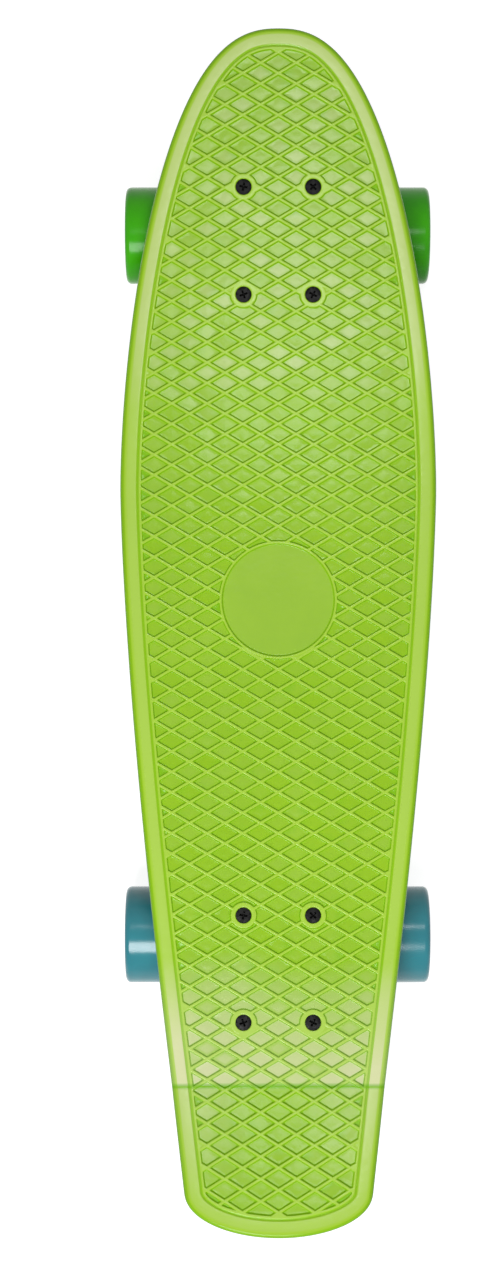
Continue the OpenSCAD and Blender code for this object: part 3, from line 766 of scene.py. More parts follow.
# %% Bolt collars and medallion
SINK = 0.3
HEAD_R, BORE_R = 9.5 / 2, 5.3 / 2
DISC_FLOOR_R = 32.5
COLLAR = [(5.5, 0, 40), (5.15, 0.05, 36), (HEAD_R + 0.1, 0.2, 32), (HEAD_R, 0.75, 32),
          (BORE_R, SINK + 2.5, 24), (BORE_R, DECK_T, 24)]
MEDALLION = [(33.85, 0.04, 96), (33.5, 0.22, 96), (33.25, 0.75, 96), (33.0, 1.08, 96),
             (32.4, 1.2, 90), (26, 1.2, 60), (17, 1.2, 36), (7, 1.2, 18)]


def circle(centre, radius, count):
    """A loop of evenly spaced points, anticlockwise."""
    return [(centre[0] + radius * math.cos(math.tau * k / count),
             centre[1] + radius * math.sin(math.tau * k / count)) for k in range(count)]


bore_ends = []
for stations, (centre, radius) in zip(hole_stations, crest_holes):
    ring = top.loop([stations[key] for key in sorted(stations)], 0)
    for step_radius, drop, count in (MEDALLION if radius > BIG else COLLAR):
        inner = top.loop(circle(centre, step_radius, count), drop)
        # The medallion's floor carries full painted sheen
        if radius > BIG and step_radius < DISC_FLOOR_R:
            painted_sheen.update(dict.fromkeys(inner, (1, 1)))
        if step_radius <= HEAD_R and drop < DECK_T:
            for i in inner:
                x, y, _ = top.points[i]
                top.points[i] = (x, y, drop + rise(y) - rise(centre[1]))
        top.band(ring, inner)
        ring = inner
    if radius > BIG:
        top.fan(ring, MEDALLION[-1][1])
        # Its middle point carries full painted sheen too
        painted_sheen[len(top.points) - 1] = (1, 1)
    else:
        bore_ends.append(ring)
print(len(bore_ends), "bolt holes")

# %% [markdown]
# ## The underside
# A moulded deck is hollow below: long and cross ribs stiffen a thin plate, and a solid pad backs
# each truck. The flat face that the ribs share has holes in it, one for every hollow, which is
# what a constrained triangulation is for: it fills the outline and leaves the hollows open. The
# hollows then get their own nests, drafted like the walls of a real mould.

# %% One hollow of the underside
RIM_W, PLATE_T, STIFF_RIB = 9, 5, 3
LONG_PITCH, CROSS_PITCH = 30, 38
PAD_W, PAD_L = 64, 92
# Smallest hollow worth moulding, in square millimetres
LEAST_HOLLOW = 12
# Distance inside the mouth, drop, and radius of the corners
HOLLOW = [(0, DECK_T, 1.8), (0.25, DECK_T - 0.35, 1.8), (0.6, PLATE_T + 1.3, 2),
          (0.95, PLATE_T + 0.4, 2.4), (1.8, PLATE_T, 3)]
rim_inner = {step[0]: [tuple(p) for p in inset_loop(RIM_W + step[0])] for step in HOLLOW}


def hollow_parts(column, row, inset):
    """The polygons of one hollow of the underside, between ribs, rim and truck pads."""
    half = STIFF_RIB / 2
    # The outermost hollows reach out to the rim, and the next ones begin beside the pads
    low_x = {-3: -DECK_W, 1: PAD_W / 2}.get(column, column * LONG_PITCH + half)
    high_x = {2: DECK_W, -2: -PAD_W / 2}.get(column, (column + 1) * LONG_PITCH - half)
    sides = [((0, -1), -row * CROSS_PITCH - half - inset),
             ((0, 1), (row + 1) * CROSS_PITCH - half - inset),
             ((-1, 0), -low_x - inset), ((1, 0), high_x - inset)]
    spans = [[]]
    if abs(low_x + high_x) / 2 < PAD_W / 2:
        for truck_y in (FRONT_Y, REAR_Y):
            if abs((row + 0.5) * CROSS_PITCH - truck_y) < (PAD_L + CROSS_PITCH) / 2:
                spans = [[((0, 1), truck_y - PAD_L / 2 - inset)],
                         [((0, -1), -truck_y - PAD_L / 2 - inset)]]
    parts = []
    for span in spans:
        part = rim_inner[inset]
        for normal, reach in sides + span:
            part = clip_line(part, normal, reach)
        if len(part) > 2 and area(part) > LEAST_HOLLOW:
            parts.append(part)
    return parts


print("a hollow in mid-deck:", round(area(hollow_parts(0, 0, 0)[0])), "square mm")

# %% The underside
under = Sheet()
edge_ring = under.loop([top.points[i][:2] for i in underside_edge], DECK_T)
hole_rings = [under.loop([top.points[i][:2] for i in ring], DECK_T) for ring in bore_ends]
mouths = []
cross_rows = int((NOSE_Y - RIM_W) / CROSS_PITCH) + 1
for column in range(-3, 3):
    for row in range(-cross_rows, cross_rows):
        levels = [hollow_parts(column, row, step[0]) for step in HOLLOW]
        for mouth in levels[0]:
            middle = np.mean(mouth, axis=0)
            nest = []
            for (inset, drop, radius), parts in zip(HOLLOW, levels):
                near = min(parts, default=None,
                           key=lambda part: np.hypot(*(np.mean(part, axis=0) - middle)))
                if near is None:
                    break
                nest.append((round_corners(near, radius), drop))
            rings = [under.loop(*step) for step in nest]
            for outer, inner in zip(rings, rings[1:]):
                under.band(outer, inner)
            under.lid(rings[-1])
            mouths.append(rings[0])
web = under.fill(edge_ring, hole_rings + mouths)
print(len(mouths), "hollows,", web, "faces between them")

# %% [markdown]
# ## One closed mesh
# Both sheets are joined here. The mesh is sliced along the crease so that the bend runs straight
# across pockets and ribs alike, and the underside is sliced every centimetre or two where the
# deck curves. Then every point is lifted to the profile, and millimetres become metres.

# %% Both sheets in one mesh
mesh = bmesh.new()
# One layer carries the painted sheen, the other how clear of the wall each point lies
sheen_layer, clear = (mesh.verts.layers.float.new(name) for name in ("painted_sheen", "clear"))
for sheet, sign in ((top, 1), (under, -1)):
    points = [mesh.verts.new(p) for p in sheet.points]
    if sheet is top:
        for i, (drawn, off_wall) in painted_sheen.items():
            points[i][sheen_layer], points[i][clear] = drawn, off_wall
    for face in sheet.faces:
        corners = [points[i] for i in face]
        if len(set(corners)) == len(corners):
            mesh.faces.new(corners if sign > 0 else corners[::-1])
bmesh.ops.remove_doubles(mesh, verts=mesh.verts, dist=0.0005)
bmesh.ops.dissolve_degenerate(mesh, edges=mesh.edges, dist=0.0005)
print("flat deck:", len(mesh.verts), "points")

# %% Slices where it bends
RAMP_SLICE, NOSE_SLICE = 14, 18
# Faces dropped further than this belong to the underside's ribs and pads
LOW_FACES = DECK_T - 0.5


def slice_at(geom, y):
    """Cuts faces, with their edges and points, across the deck."""
    bmesh.ops.bisect_plane(mesh, geom=geom, dist=1e-5, plane_co=(0, y, 0), plane_no=(0, 1, 0))


for cut in (-1, -0.33, 0.33, 1):
    slice_at(mesh.verts[:] + mesh.edges[:] + mesh.faces[:], CREASE_Y + cut * CREASE_SOFT)
curved = [*np.arange(CREASE_Y + RAMP_SLICE, RAMP_Y, RAMP_SLICE),
          *np.arange(CURVE_Y, NOSE_Y, NOSE_SLICE)]
for cut in curved:
    low = [f for f in mesh.faces if f.calc_center_median().z > LOW_FACES]
    slice_at(list({e for f in low for e in f.edges} | {v for f in low for v in f.verts}) + low,
             float(cut))
print("slices:", 4 + len(curved))

# %% Lift to the profile
sunk = mesh.verts.layers.float.new("sunk")
for v in mesh.verts:
    x, y, drop = v.co
    v[sunk] = drop
    v.co = (x * MM, y * MM, (TOP_Z + rise(y) - drop) * MM)
bmesh.ops.recalc_face_normals(mesh, faces=mesh.faces)
open_edges = sum(1 for e in mesh.edges if len(e.link_faces) != 2)
triangles = sum(len(f.verts) - 2 for f in mesh.faces)
deck_mesh = bpy.data.meshes.new("moulded_deck")
mesh.to_mesh(deck_mesh)
mesh.free()
deck_mesh.shade_smooth()
deck = in_scene("moulded_deck", deck_mesh)
even = deck.modifiers.new("flat faces shade flat", "WEIGHTED_NORMAL")
even.mode = "FACE_AREA"
even.weight = 60
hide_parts("deck")
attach(deck, "board")
print("deck:", len(deck_mesh.vertices), "points,", triangles, "triangles,", open_edges,
      "open edges")

# %% [markdown]
# ## Lime plastic
# The deck is injection-moulded in one colour. Moulded plastic is never quite even: the pigment
# flows in faint clouds. Light and shade are painted into that colour as well: the tops of the ribs
# are painted lighter as a highlight, and the walls of the pockets, the feet of those walls, the
# rim's curved sides and the underside are painted darker and greener as shade. A painted image
# could show all that, but the mesh knows it already. The drop below the top face was stored at
# every point as "sunk", and "clear" tells a pocket's floor from the foot of its wall. The colour
# follows these two, so it stays true however close the camera comes.

# %% Finish: lime plastic, its colour, painted highlight and painted shade by depth
lime = Finish("lime_moulded_plastic", Roughness=0.24, IOR=1.5, Specular_IOR_Level=0.18)
# A deeper green, painted as shade on the pocket walls and along the crease's fold
SHADE_GREEN = srgb(104, 180, 0)
depth, off_wall = lime.carried("sunk"), lime.carried("clear")
pigment = lime.ramp(lime.noise(9, 3, 0.55), (0.3, srgb(155, 200, 18)), (0.7, srgb(162, 206, 24)))
# Painted highlight: the tops of the ribs are lighter, where the light falls on them
crest_highlight = lime.times(lime.level(depth, 0.0, 0.3, 1.0, 0.0), 0.5)
crest = lime.mix(crest_highlight, pigment, srgb(183, 222, 92))
# The floors of the pockets are darker in cloudy patches
floor_darkening = lime.level(lime.noise(60, 5, 0.6), 0.35, 0.8, 0.0, 0.35)
bottoms = lime.mix(lime.times(lime.level(depth, 1.0, 1.15), floor_darkening), crest, srgb(134, 184, 16))
# Painted shade on the walls of the pockets, fading out towards the crest and the floor
shade = lime.ramp(lime.level(depth, 0.0, 2.0), (0.04, grey(0)), (0.2, grey(0.42)),
                  (0.5, grey(0.42)), (0.57, grey(0.1)))
# Painted shade at the foot of each wall, on the edge of the floor
foot_shade = lime.times(lime.level(depth, 0.8, 1.0, 0.0, 0.5), lime.level(off_wall, 0.0, 0.6, 1.0, 0.0))
shaded_walls = lime.mix(lime.sums("MAXIMUM", shade, foot_shade), bottoms, SHADE_GREEN)
# Painted shade: the rim's curved sides darker and greener, and the underside a little darker
side = lime.ramp(lime.level(depth, 0.0, 12.0), (0.07, grey(0)), (0.3, grey(0.6)),
                 (0.72, grey(0.6)), (0.9, grey(0.2)))
body = lime.mix(side, shaded_walls, srgb(62, 142, 0))
print("colour by depth:", len(lime.tree.nodes), "nodes")

# %% [markdown]
# ## Painted sheen and the crease's fold
# Where the lamps would shine back off the deck, a pale sheen is painted into its colour: in the
# pockets near the nose, on both sides of the crease, and on the smooth band beside them. How
# strong the painted sheen on a pocket is was drawn when the pocket was built, and the mesh carries
# it, so neighbours differ. Each painted sheen grows along the deck with an edge that wanders. Only
# the crease cuts it off sharply, and there a thin darker line is painted as shade along the fold.

# %% Finish: painted sheen on the lime plastic
crease = CREASE_Y * MM
# Where each painted sheen begins and is fullest along the board, in metres, and its strength at
# both
NOSE_SHEEN = (0.125, 0.165, 0.05, 0.25)
RAMP_SHEEN = (crease + 0.076, crease + 0.013, 0.0, 0.48)
KICK_SHEEN = (crease - 0.064, crease - 0.001, 0.0, 0.18)
split = lime.node("SeparateXYZ", {"Vector": lime.place}).outputs
across, along = split["X"], split["Y"]
wander = lime.level(lime.noise(14, 2, 0.5), 0.3, 0.7, -0.014, 0.014)
drift = lime.sums("ADD", along, wander)
off_middle = lime.level(lime.size_of(across), 0.01, 0.045)
# Painted sheen, held back near the walls of the pockets
sheen_amount = lime.times(lime.carried("painted_sheen"), off_wall)
at_nose = lime.times(lime.level(drift, *NOSE_SHEEN), sheen_amount)
before = lime.times(lime.level(drift, *RAMP_SHEEN), lime.level(off_middle, 0.0, 1.0, 0.8, 1.0))
before = lime.times(before, lime.level(along, crease - 0.0002, crease + 0.0003))
behind = lime.times(lime.level(drift, *KICK_SHEEN), off_middle)
behind = lime.times(behind, lime.level(along, crease - 0.0005, crease - 0.001))
held = lime.sums("MAXIMUM", lime.level(sheen_amount, 0.0, 0.25), lime.level(depth, 2.0, 3.0, 0.25, 0.0))
at_crease = lime.times(lime.sums("ADD", before, behind), held)
# Painted sheen: the colour turns pale where the lamps' reflection would lie
with_sheen = lime.mix(lime.sums("ADD", at_nose, at_crease), body, srgb(252, 233, 220))
# Painted shade: a thin line of deeper green along the crease
fold = lime.level(lime.size_of(lime.sums("SUBTRACT", along, crease)), 0.0006, 0.002, 0.6, 0.0)
fold = lime.times(fold, lime.level(depth, 3.0, 4.0, 1.0, 0.0))
lime.set(Base_Color=lime.mix(fold, with_sheen, SHADE_GREEN))
print("the fold lies at", round(crease, 4), "m")

# %% [markdown]
# ## Gloss of the lime plastic
# A flat clean surface would mirror each lamp as one sharp spot. Three sizes of unevenness break
# the glints up: a grain finer than half a millimetre, ripples a few millimetres long and a slow
# swell. Fine scuffs make the gloss duller in places. The relief is only bumps in the shader,
# because in the mesh it would cost millions of faces.

# %% Finish: gloss and grain of the lime plastic
grain = lime.noise(2600, 2, 0.5)
wave = lime.noise(250, 2, 0.4)
swell = lime.noise(34, 2, 0.4)
scuffs = lime.level(lime.noise(900, 2, 0.7), 0.45, 0.75)
lime.set(Roughness=lime.sums("ADD", lime.level(swell, 0.3, 0.7, 0.15, 0.2),
                             lime.times(scuffs, 0.08)))
lime.set(Normal=lime.bump(grain, 0.00003, 0.5, lime.bump(wave, 0.00025, 0.3,
                                                         lime.bump(swell, 0.001, 0.25))))
deck_mesh.materials.append(lime.material)
print("finish:", lime.material.name, "from", len(lime.tree.nodes), "nodes")

# %% [markdown]
# ## Turned parts
# Wheels, bushings, screws, nuts and axles all come off a lathe, so one helper makes them: a list
# of rings, each at a place along the axis with a radius. Two small extras make hexagons and
# threads from the same rings. A ring may be cut off by the flats of a hexagon, which also gives
# the curved chamfer lines of a real nut, and it may follow a thread, whose depth depends on the
# angle and the place along the axis together. Cylinder primitives with bevels would need a long
# stack of modifiers for the same shapes, and their sizes would be hidden in it.

# %% Turning on a lathe


def turned(rows, sides, pitch=1.0, closed=False):
    """A mesh of rings (along, radius, across flats or 0, thread depth) round the Z axis."""
    mesh = bmesh.new()
    rings = []
    for row in rows:
        along, radius, across, bite = (*row, 0, 0)[:4]
        ring = []
        for k in range(sides):
            angle = math.tau * k / sides
            reach = radius
            if across:
                off = (angle + math.pi / 6) % (math.pi / 3) - math.pi / 6
                reach = min(radius, across / 2 / math.cos(off))
            if bite:
                turn = (along / pitch - k / sides) % 1
                reach -= bite * abs(2 * turn - 1)
            ring.append(mesh.verts.new((reach * math.cos(angle), reach * math.sin(angle), along)))
        rings.append(ring)
    pairs = list(zip(rings, rings[1:] + rings[:1])) if closed else list(zip(rings, rings[1:]))
    for low, high in pairs:
        for k in range(sides):
            mesh.faces.new((low[k], low[(k + 1) % sides], high[(k + 1) % sides], high[k]))
    if not closed:
        for ring, along in ((rings[0], rows[0][0]), (rings[-1], rows[-1][0])):
            middle = mesh.verts.new((0, 0, along))
            for k in range(sides):
                mesh.faces.new((ring[k], ring[(k + 1) % sides], middle))
    return mesh


washer = turned([(0, 4), (0, 8), (1, 8), (1, 4)], 32, closed=True)
print("a turned washer:", len(washer.faces), "faces")

# %% Threads


def threaded(start, end, radius, pitch, bite):
    """Rows for a thread between two places, running out to the full radius at both ends."""
    count = max(4, int(abs(end - start) / pitch * 6))
    rows = []
    for i in range(count + 1):
        fade = min(1, i / 5, (count - i) / 3)
        rows.append((start + (end - start) * i / count, radius, 0, bite * fade))
    return rows


print("a thread 10 mm long:", len(threaded(0, 10, 2, 1, 0.3)), "rings")

# %% Placing and joining pieces


def frame_of(place, axis, scale=MM):
    """A matrix that takes the lathe's millimetres to a place on the board, Z along the axis."""
    turn = Vector((0, 0, 1)).rotation_difference(Vector(axis)).to_matrix().to_4x4()
    return Matrix.Translation(Vector(place) * MM) @ turn @ Matrix.Scale(scale, 4)


def make_piece(name, meshes, finish, body, replaced=(), sharp=35):
    """Joins meshes, each with its frame, into one piece of the board."""
    whole = bmesh.new()
    for part, place in meshes:
        copy = part.copy()
        copy.transform(place)
        bmesh.ops.recalc_face_normals(copy, faces=copy.faces)
        data = bpy.data.meshes.new("part")
        copy.to_mesh(data)
        whole.from_mesh(data)
        bpy.data.meshes.remove(data)
        copy.free()
    data = bpy.data.meshes.new(name)
    whole.to_mesh(data)
    whole.free()
    data.shade_smooth()
    data.set_sharp_from_angle(angle=math.radians(sharp))
    data.materials.append(finish.material)
    made = in_scene(name, data)
    if replaced:
        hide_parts(*replaced)
    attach(made, body)


print("a lathe's millimetre is", round(frame_of((0, 0, 0), (0, 0, 1)).to_scale().x, 6), "m")

# %% [markdown]
# ## Where the trucks are
# Both trucks are alike and face the same way, so one set of places, measured from the middle of
# each truck's four bolts, serves both. The kingpin stands 24 degrees off upright. Writing the
# places down once keeps the finer meshes exactly on the construction solids that they replace.

# %% Where the trucks are
AXLE_FWD, AXLE_Z, WHEEL_X = 13.2, 29.5, 70.5
PAD_Z = 82
# The middle of the hanger's ring on the kingpin: behind the bolts' middle and below the pad
PIN_BACK, PIN_DOWN = 15, 39
# A truck's own bolts lie closer than this to its middle, along the board
TRUCK_REACH = 40
LEAN = math.radians(24)
KINGPIN_AXIS = (0, -math.sin(LEAN), math.cos(LEAN))
TRUCKS = {"front": FRONT_Y, "rear": REAR_Y}


def kingpin_frame(truck_y):
    """The frame of a kingpin, Z along it towards its head."""
    return frame_of((0, truck_y - PIN_BACK, PAD_Z - PIN_DOWN), KINGPIN_AXIS)


def bolts_of(truck_y):
    """The places of one truck's four bolts."""
    return [p for p in bolt_places if abs(p[1] - truck_y) < TRUCK_REACH]


print("kingpins lean", round(math.degrees(LEAN)), "degrees")

# %% [markdown]
# ## Wheels
# Each wheel is cast in soft urethane and turned to size: a flat tread, nearly square lips, and
# faces that dish in to the bearing's seat. Half a profile is enough, because the other half is
# its mirror image. The front pair is green and the rear pair teal. Rolling leaves the tread satin
# and slightly rough, and the lips stay glossier, so the finish tells the two apart by how far a
# place lies from the wheel's middle.

# %% Finish: wheel urethane


def urethane(name, colour, deep, shine):
    """A wheel's finish, from its two cloud colours and how brightly it mirrors."""
    finish = Finish(name, Roughness=0.2, IOR=1.5, Specular_IOR_Level=shine)
    clouds = finish.noise(45, 3, 0.5)
    finish.set(Base_Color=finish.ramp(clouds, (0.3, deep), (0.7, colour)))
    across = finish.node("SeparateXYZ", {"Vector": finish.place}).outputs["X"]
    off_middle = finish.size_of(finish.sums("SUBTRACT", finish.size_of(across), WHEEL_X * MM))
    tread = finish.level(off_middle, 0.019, 0.0205, 1.0, 0.0)
    rolled = finish.noise(700, 3, 0.6)
    finish.set(Roughness=finish.level(finish.times(tread, rolled), 0.0, 1.0, 0.11, 0.24),
               Normal=finish.bump(rolled, 0.00003, finish.times(tread, 0.6)))
    return finish


wheel_green = urethane("green_wheel_urethane", srgb(70, 188, 0), srgb(58, 176, 0), 0.17)
wheel_teal = urethane("teal_wheel_urethane", srgb(34, 136, 150), srgb(26, 124, 138), 0.45)
print("finishes:", wheel_green.material.name, wheel_teal.material.name)

# %% Wheel meshes
WHEEL_R, TREAD_HALF, LIP_R = 29.5, 19.5, 3
# Distance from the wheel's middle, and radius
half = [(0, 9), (4.6, 9), (5, 9.4), (5, 11), (11.9, 11), (12.3, 11.35), (12.7, 13.4), (13.1, 14.5),
        (13.9, 15.5), (16.2, 17.9), (19.2, 21.2), (21.2, 23.4), (22.05, 24.5), (22.4, 25.5),
        (22.5, 26.5)]
half += [(TREAD_HALF + LIP_R * math.cos(a), WHEEL_R - LIP_R + LIP_R * math.sin(a))
         for a in np.radians(np.linspace(9, 90, 10))]
half += [(18.8, WHEEL_R), (9, WHEEL_R)]
wheel_rows = half + [(-x, r) for x, r in half[:0:-1]]
wheel_turned = turned(wheel_rows, 144, closed=True)
for end, truck_y in TRUCKS.items():
    paint, tint = (wheel_green, "green") if end == "front" else (wheel_teal, "teal")
    for side, way in (("left", -1), ("right", 1)):
        place = frame_of((way * WHEEL_X, truck_y + AXLE_FWD, AXLE_Z), (way, 0, 0))
        make_piece(f"{end}_{side}_roller", [(wheel_turned, place)], paint,
                   f"{end}_{side}_wheel_set", [f"{end}_{side}_wheel"],
                   sharp=50)
print("wheel:", len(wheel_turned.faces), "faces each")

# %% [markdown]
# ## Deck screws
# Eight black machine screws go through the deck into each baseplate, their heads sunk flush in
# moulded collars. A cross recess is four short slots that narrow towards the bottom; it is drawn
# as one cross-shaped loop in the head's top face and a smaller one further down, with the same
# sewing helper that made the waffle. The lower end carries a real thread. A boolean could cut the
# recess, but it would leave ragged shading on so small a head.

# %% Finish: black oxide
black = Finish("black_oxide_screw", Roughness=0.45, Specular_IOR_Level=0.12)
rub = black.noise(1500, 3, 0.6)
black.set(Base_Color=black.ramp(rub, (0.35, srgb(5, 5, 5)), (0.75, srgb(16, 16, 15))),
          Roughness=black.level(rub, 0.3, 0.8, 0.3, 0.5),
          Normal=black.bump(rub, 0.00003, 0.4))
print("finish:", black.material.name)

# %% A screw
BOLT_R, BOLT_LEN, BOLT_PITCH = 2.4, 28, 0.794
CROSS_CORNERS = 12


def cross(reach, arm):
    """A cross-shaped loop, anticlockwise."""
    corner = [(arm, reach), (-arm, reach), (-arm, arm)]
    loop = []
    for quarter in range(4):
        c, s = round(math.cos(quarter * math.pi / 2)), round(math.sin(quarter * math.pi / 2))
        loop += [(x * c - y * s, x * s + y * c) for x, y in corner]
    return loop


def machine_screw():
    """The mesh of one screw, its head's face at 0 and its tip down."""
    sheet = Sheet()
    rim_ring = sheet.loop(circle((0, 0), HEAD_R - 0.15, 32), 0)
    slot_ring = sheet.loop(cross(2.45, 0.62), 0.04)
    sheet.fill(rim_ring, [slot_ring])
    low_ring = sheet.loop(cross(1.25, 0.36), 1.9)
    for k in range(CROSS_CORNERS):
        after = (k + 1) % CROSS_CORNERS
        sheet.faces.append((slot_ring[k], slot_ring[after], low_ring[after], low_ring[k]))
    sheet.fan(low_ring, 2.25)
    mesh = bmesh.new()
    points = [mesh.verts.new((x, y, -drop)) for x, y, drop in sheet.points]
    for face in sheet.faces:
        mesh.faces.new([points[i] for i in face])
    rows = [(-0.05, HEAD_R - 0.15), (-0.12, HEAD_R - 0.05), (-0.25, HEAD_R - 0.06),
            (-2.35, BOLT_R + 0.05), (-2.6, BOLT_R), (-14, BOLT_R)]
    rows += threaded(-14.2, 1.0 - BOLT_LEN, BOLT_R, BOLT_PITCH, 0.42)[1:]
    rows += [(0.2 - BOLT_LEN, BOLT_R - 0.6), (-BOLT_LEN, BOLT_R - 0.9)]
    shank = turned(rows, 32, BOLT_PITCH)
    top_cap = [f for f in shank.faces if all(v.co.z > -0.1 for v in f.verts)]
    bmesh.ops.delete(shank, geom=top_cap, context="FACES")
    data = bpy.data.meshes.new("shank")
    shank.to_mesh(data)
    mesh.from_mesh(data)
    bpy.data.meshes.remove(data)
    bmesh.ops.remove_doubles(mesh, verts=mesh.verts, dist=0.06)
    return mesh


screw = machine_screw()
print("screw:", len(screw.faces), "faces each")

# %% Eight screws
# How far each cross recess happens to be turned
turn_of = (0.35, 1.1, -0.2, 0.8)
for end, truck_y in TRUCKS.items():
    places = []
    for (x, y), turn in zip(bolts_of(truck_y), turn_of):
        head_z = TOP_Z + rise(y) - SINK
        places.append((screw, frame_of((x, y, head_z), (0, 0, 1)) @ Matrix.Rotation(turn, 4, "Z")))
    make_piece(f"{end}_deck_screws", places, black, "board",
               [f"{end}_mounting_bolts"])
print("screws:", len(bolt_places))

# %% [markdown]
# ## Zinc, aluminium and the small parts
# Bright zinc plate is slightly blue and cloudy. The trucks are cast aluminium, tumbled after
# casting, so their skin is finely pebbled and unevenly dull. Bearing races are
# ground, and ground steel shows rings round its axis. The bushings, pivot cups and cages are
# three plastics of different softness, so each gets its own gloss. One metal in several tints
# would be quicker, but then cast, plated and ground parts would look alike in the light.

# %% Finish: zinc plate
zinc = Finish("zinc_plated_steel", Metallic=1.0, Roughness=0.3)
cloud = zinc.noise(350, 4, 0.6)
zinc.set(Base_Color=zinc.ramp(cloud, (0.3, srgb(176, 180, 184)), (0.7, srgb(208, 210, 210))),
         Roughness=zinc.level(cloud, 0.3, 0.75, 0.24, 0.42),
         Normal=zinc.bump(zinc.noise(2200, 2, 0.5), 0.00002, 0.4))
print("finish:", zinc.material.name)

# %% Finish: cast aluminium
cast = Finish("tumbled_cast_aluminium", Metallic=1.0, Roughness=0.45)
pebble = cast.noise(1300, 3, 0.55)
stain = cast.noise(55, 4, 0.6)
cast.set(Base_Color=cast.ramp(stain, (0.3, srgb(168, 169, 168)), (0.75, srgb(203, 203, 200))),
         Roughness=cast.level(cast.noise(160, 4, 0.6), 0.3, 0.8, 0.36, 0.56),
         Normal=cast.bump(pebble, 0.00012, 0.5))
print("finish:", cast.material.name)

# %% Finish: ground steel
ground = Finish("ground_bearing_steel", Metallic=1.0, Roughness=0.2)
spun = ground.node("Mapping", {"Vector": ground.place, "Scale": (4000, 60, 60)}).outputs["Vector"]
rings_seen = ground.noise(1, 2, vector=spun)
ground_colours = (0.3, srgb(186, 188, 190)), (0.7, srgb(215, 216, 218))
ground.set(Base_Color=ground.ramp(rings_seen, *ground_colours),
           Roughness=ground.level(rings_seen, 0.3, 0.7, 0.16, 0.28),
           Normal=ground.bump(rings_seen, 0.00001, 0.3))
print("finish:", ground.material.name)

# %% Finishes for plastic and rubber


def plastic(name, light, dark, roughness, grain, **sockets):
    """A plastic's finish, from its two cloud colours, its gloss and its grain's scale."""
    finish = Finish(name, Roughness=roughness, **sockets)
    speck = finish.noise(grain, 3, 0.55)
    finish.set(Base_Color=finish.ramp(finish.noise(130, 3, 0.5), (0.3, dark), (0.7, light)),
               Roughness=finish.level(speck, 0.3, 0.7, roughness - 0.06, roughness + 0.08),
               Normal=finish.bump(speck, 0.00003, 0.4))
    return finish


cushion = plastic("white_bushing_urethane", srgb(232, 230, 220), srgb(218, 214, 200), 0.36, 900,
                  Subsurface_Weight=0.15, Subsurface_Scale=0.003)
cup = plastic("pivot_cup_nylon", srgb(226, 219, 198), srgb(212, 203, 180), 0.45, 1200)
cage = plastic("bearing_cage_nylon", srgb(196, 168, 120), srgb(180, 150, 104), 0.4, 1500)
shield = plastic("black_rubber_shield", srgb(30, 32, 33), srgb(20, 21, 22), 0.5, 1800)
white_ring = plastic("nut_locking_nylon", srgb(228, 228, 222), srgb(212, 212, 206), 0.4, 1500)
print("plastics:", [finish.material.name for finish in (cushion, cup, cage, shield, white_ring)])

# %% Finishes of the pieces that stay as they are


def refinish(finish, *names):
    """Puts a finish on the carried-over nodes."""
    for name in names:
        data = nodes[name].data
        data.materials.clear()
        data.materials.append(finish.material)


for end in TRUCKS:
    refinish(zinc, f"{end}_board_washer", f"{end}_road_washer", f"{end}_speed_rings")
    refinish(cup, f"{end}_pivot_cup")
    for side in ("left", "right"):
        refinish(ground, f"{end}_{side}_outer_races", f"{end}_{side}_inner_races",
                 f"{end}_{side}_balls")
        refinish(shield, f"{end}_{side}_shields")
        refinish(cage, f"{end}_{side}_cages")
        refinish(zinc, f"{end}_{side}_spacer")
print("finishes:", len(bpy.data.materials))

# %% [markdown]
# ## Truck castings
# The construction solids of the hanger and the baseplate meet at hard inside corners, which no
# casting has: molten metal needs a fillet everywhere. Remeshing a copy to small voxels and
# smoothing it a little gives every corner that fillet at once and keeps the shape otherwise. Both
# trucks come from one mould, so the rear castings reuse the front ones, moved back by the
# wheelbase.

# %% Softening a casting
VOXEL, FILLET_PASSES = 0.62, 5


def cast_from(node, voxel, passes):
    """A copy of a node's mesh with every edge and inside corner softened."""
    copy = in_scene("pattern", nodes[node].data.copy())
    remesh = copy.modifiers.new("voxels", "REMESH")
    remesh.mode = "VOXEL"
    remesh.voxel_size = voxel * MM
    remesh.use_smooth_shade = True
    soften = copy.modifiers.new("fillets", "SMOOTH")
    soften.factor = 0.5
    soften.iterations = passes
    bpy.context.view_layer.update()
    softened = copy.evaluated_get(bpy.context.evaluated_depsgraph_get())
    data = bpy.data.meshes.new_from_object(softened)
    bpy.data.objects.remove(copy)
    data.materials.clear()
    return data


print("voxels of", VOXEL, "mm,", FILLET_PASSES, "passes")

# %% Castings
for kind, body in (("hanger", "{}_hanger_set"), ("baseplate", "board")):
    front_cast = cast_from(f"front_{kind}", VOXEL, FILLET_PASSES)
    for end, truck_y in TRUCKS.items():
        data = front_cast.copy()
        data.name = f"{end}_{kind}_casting"
        data.transform(Matrix.Translation((0, (truck_y - FRONT_Y) * MM, 0)))
        data.materials.append(cast.material)
        made = in_scene(data.name, data)
        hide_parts(f"{end}_{kind}")
        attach(made, body.format(end))
    print(kind, "casting:", len(front_cast.polygons), "faces")

# %% [markdown]
# ## Kingpins, axles, nuts and bushings
# These carry the load and are seen from below, so they get what makes hardware look real: a
# chamfered hexagon, a thread that runs out, a nylon ring in each lock nut, and bushings with
# rounded rims that bulge a little between their washers. All of them are rings on the lathe
# again, so a profile is a short list of places and radii that can be held against a real part.

# %% Lock nuts, and a helper for all hardware


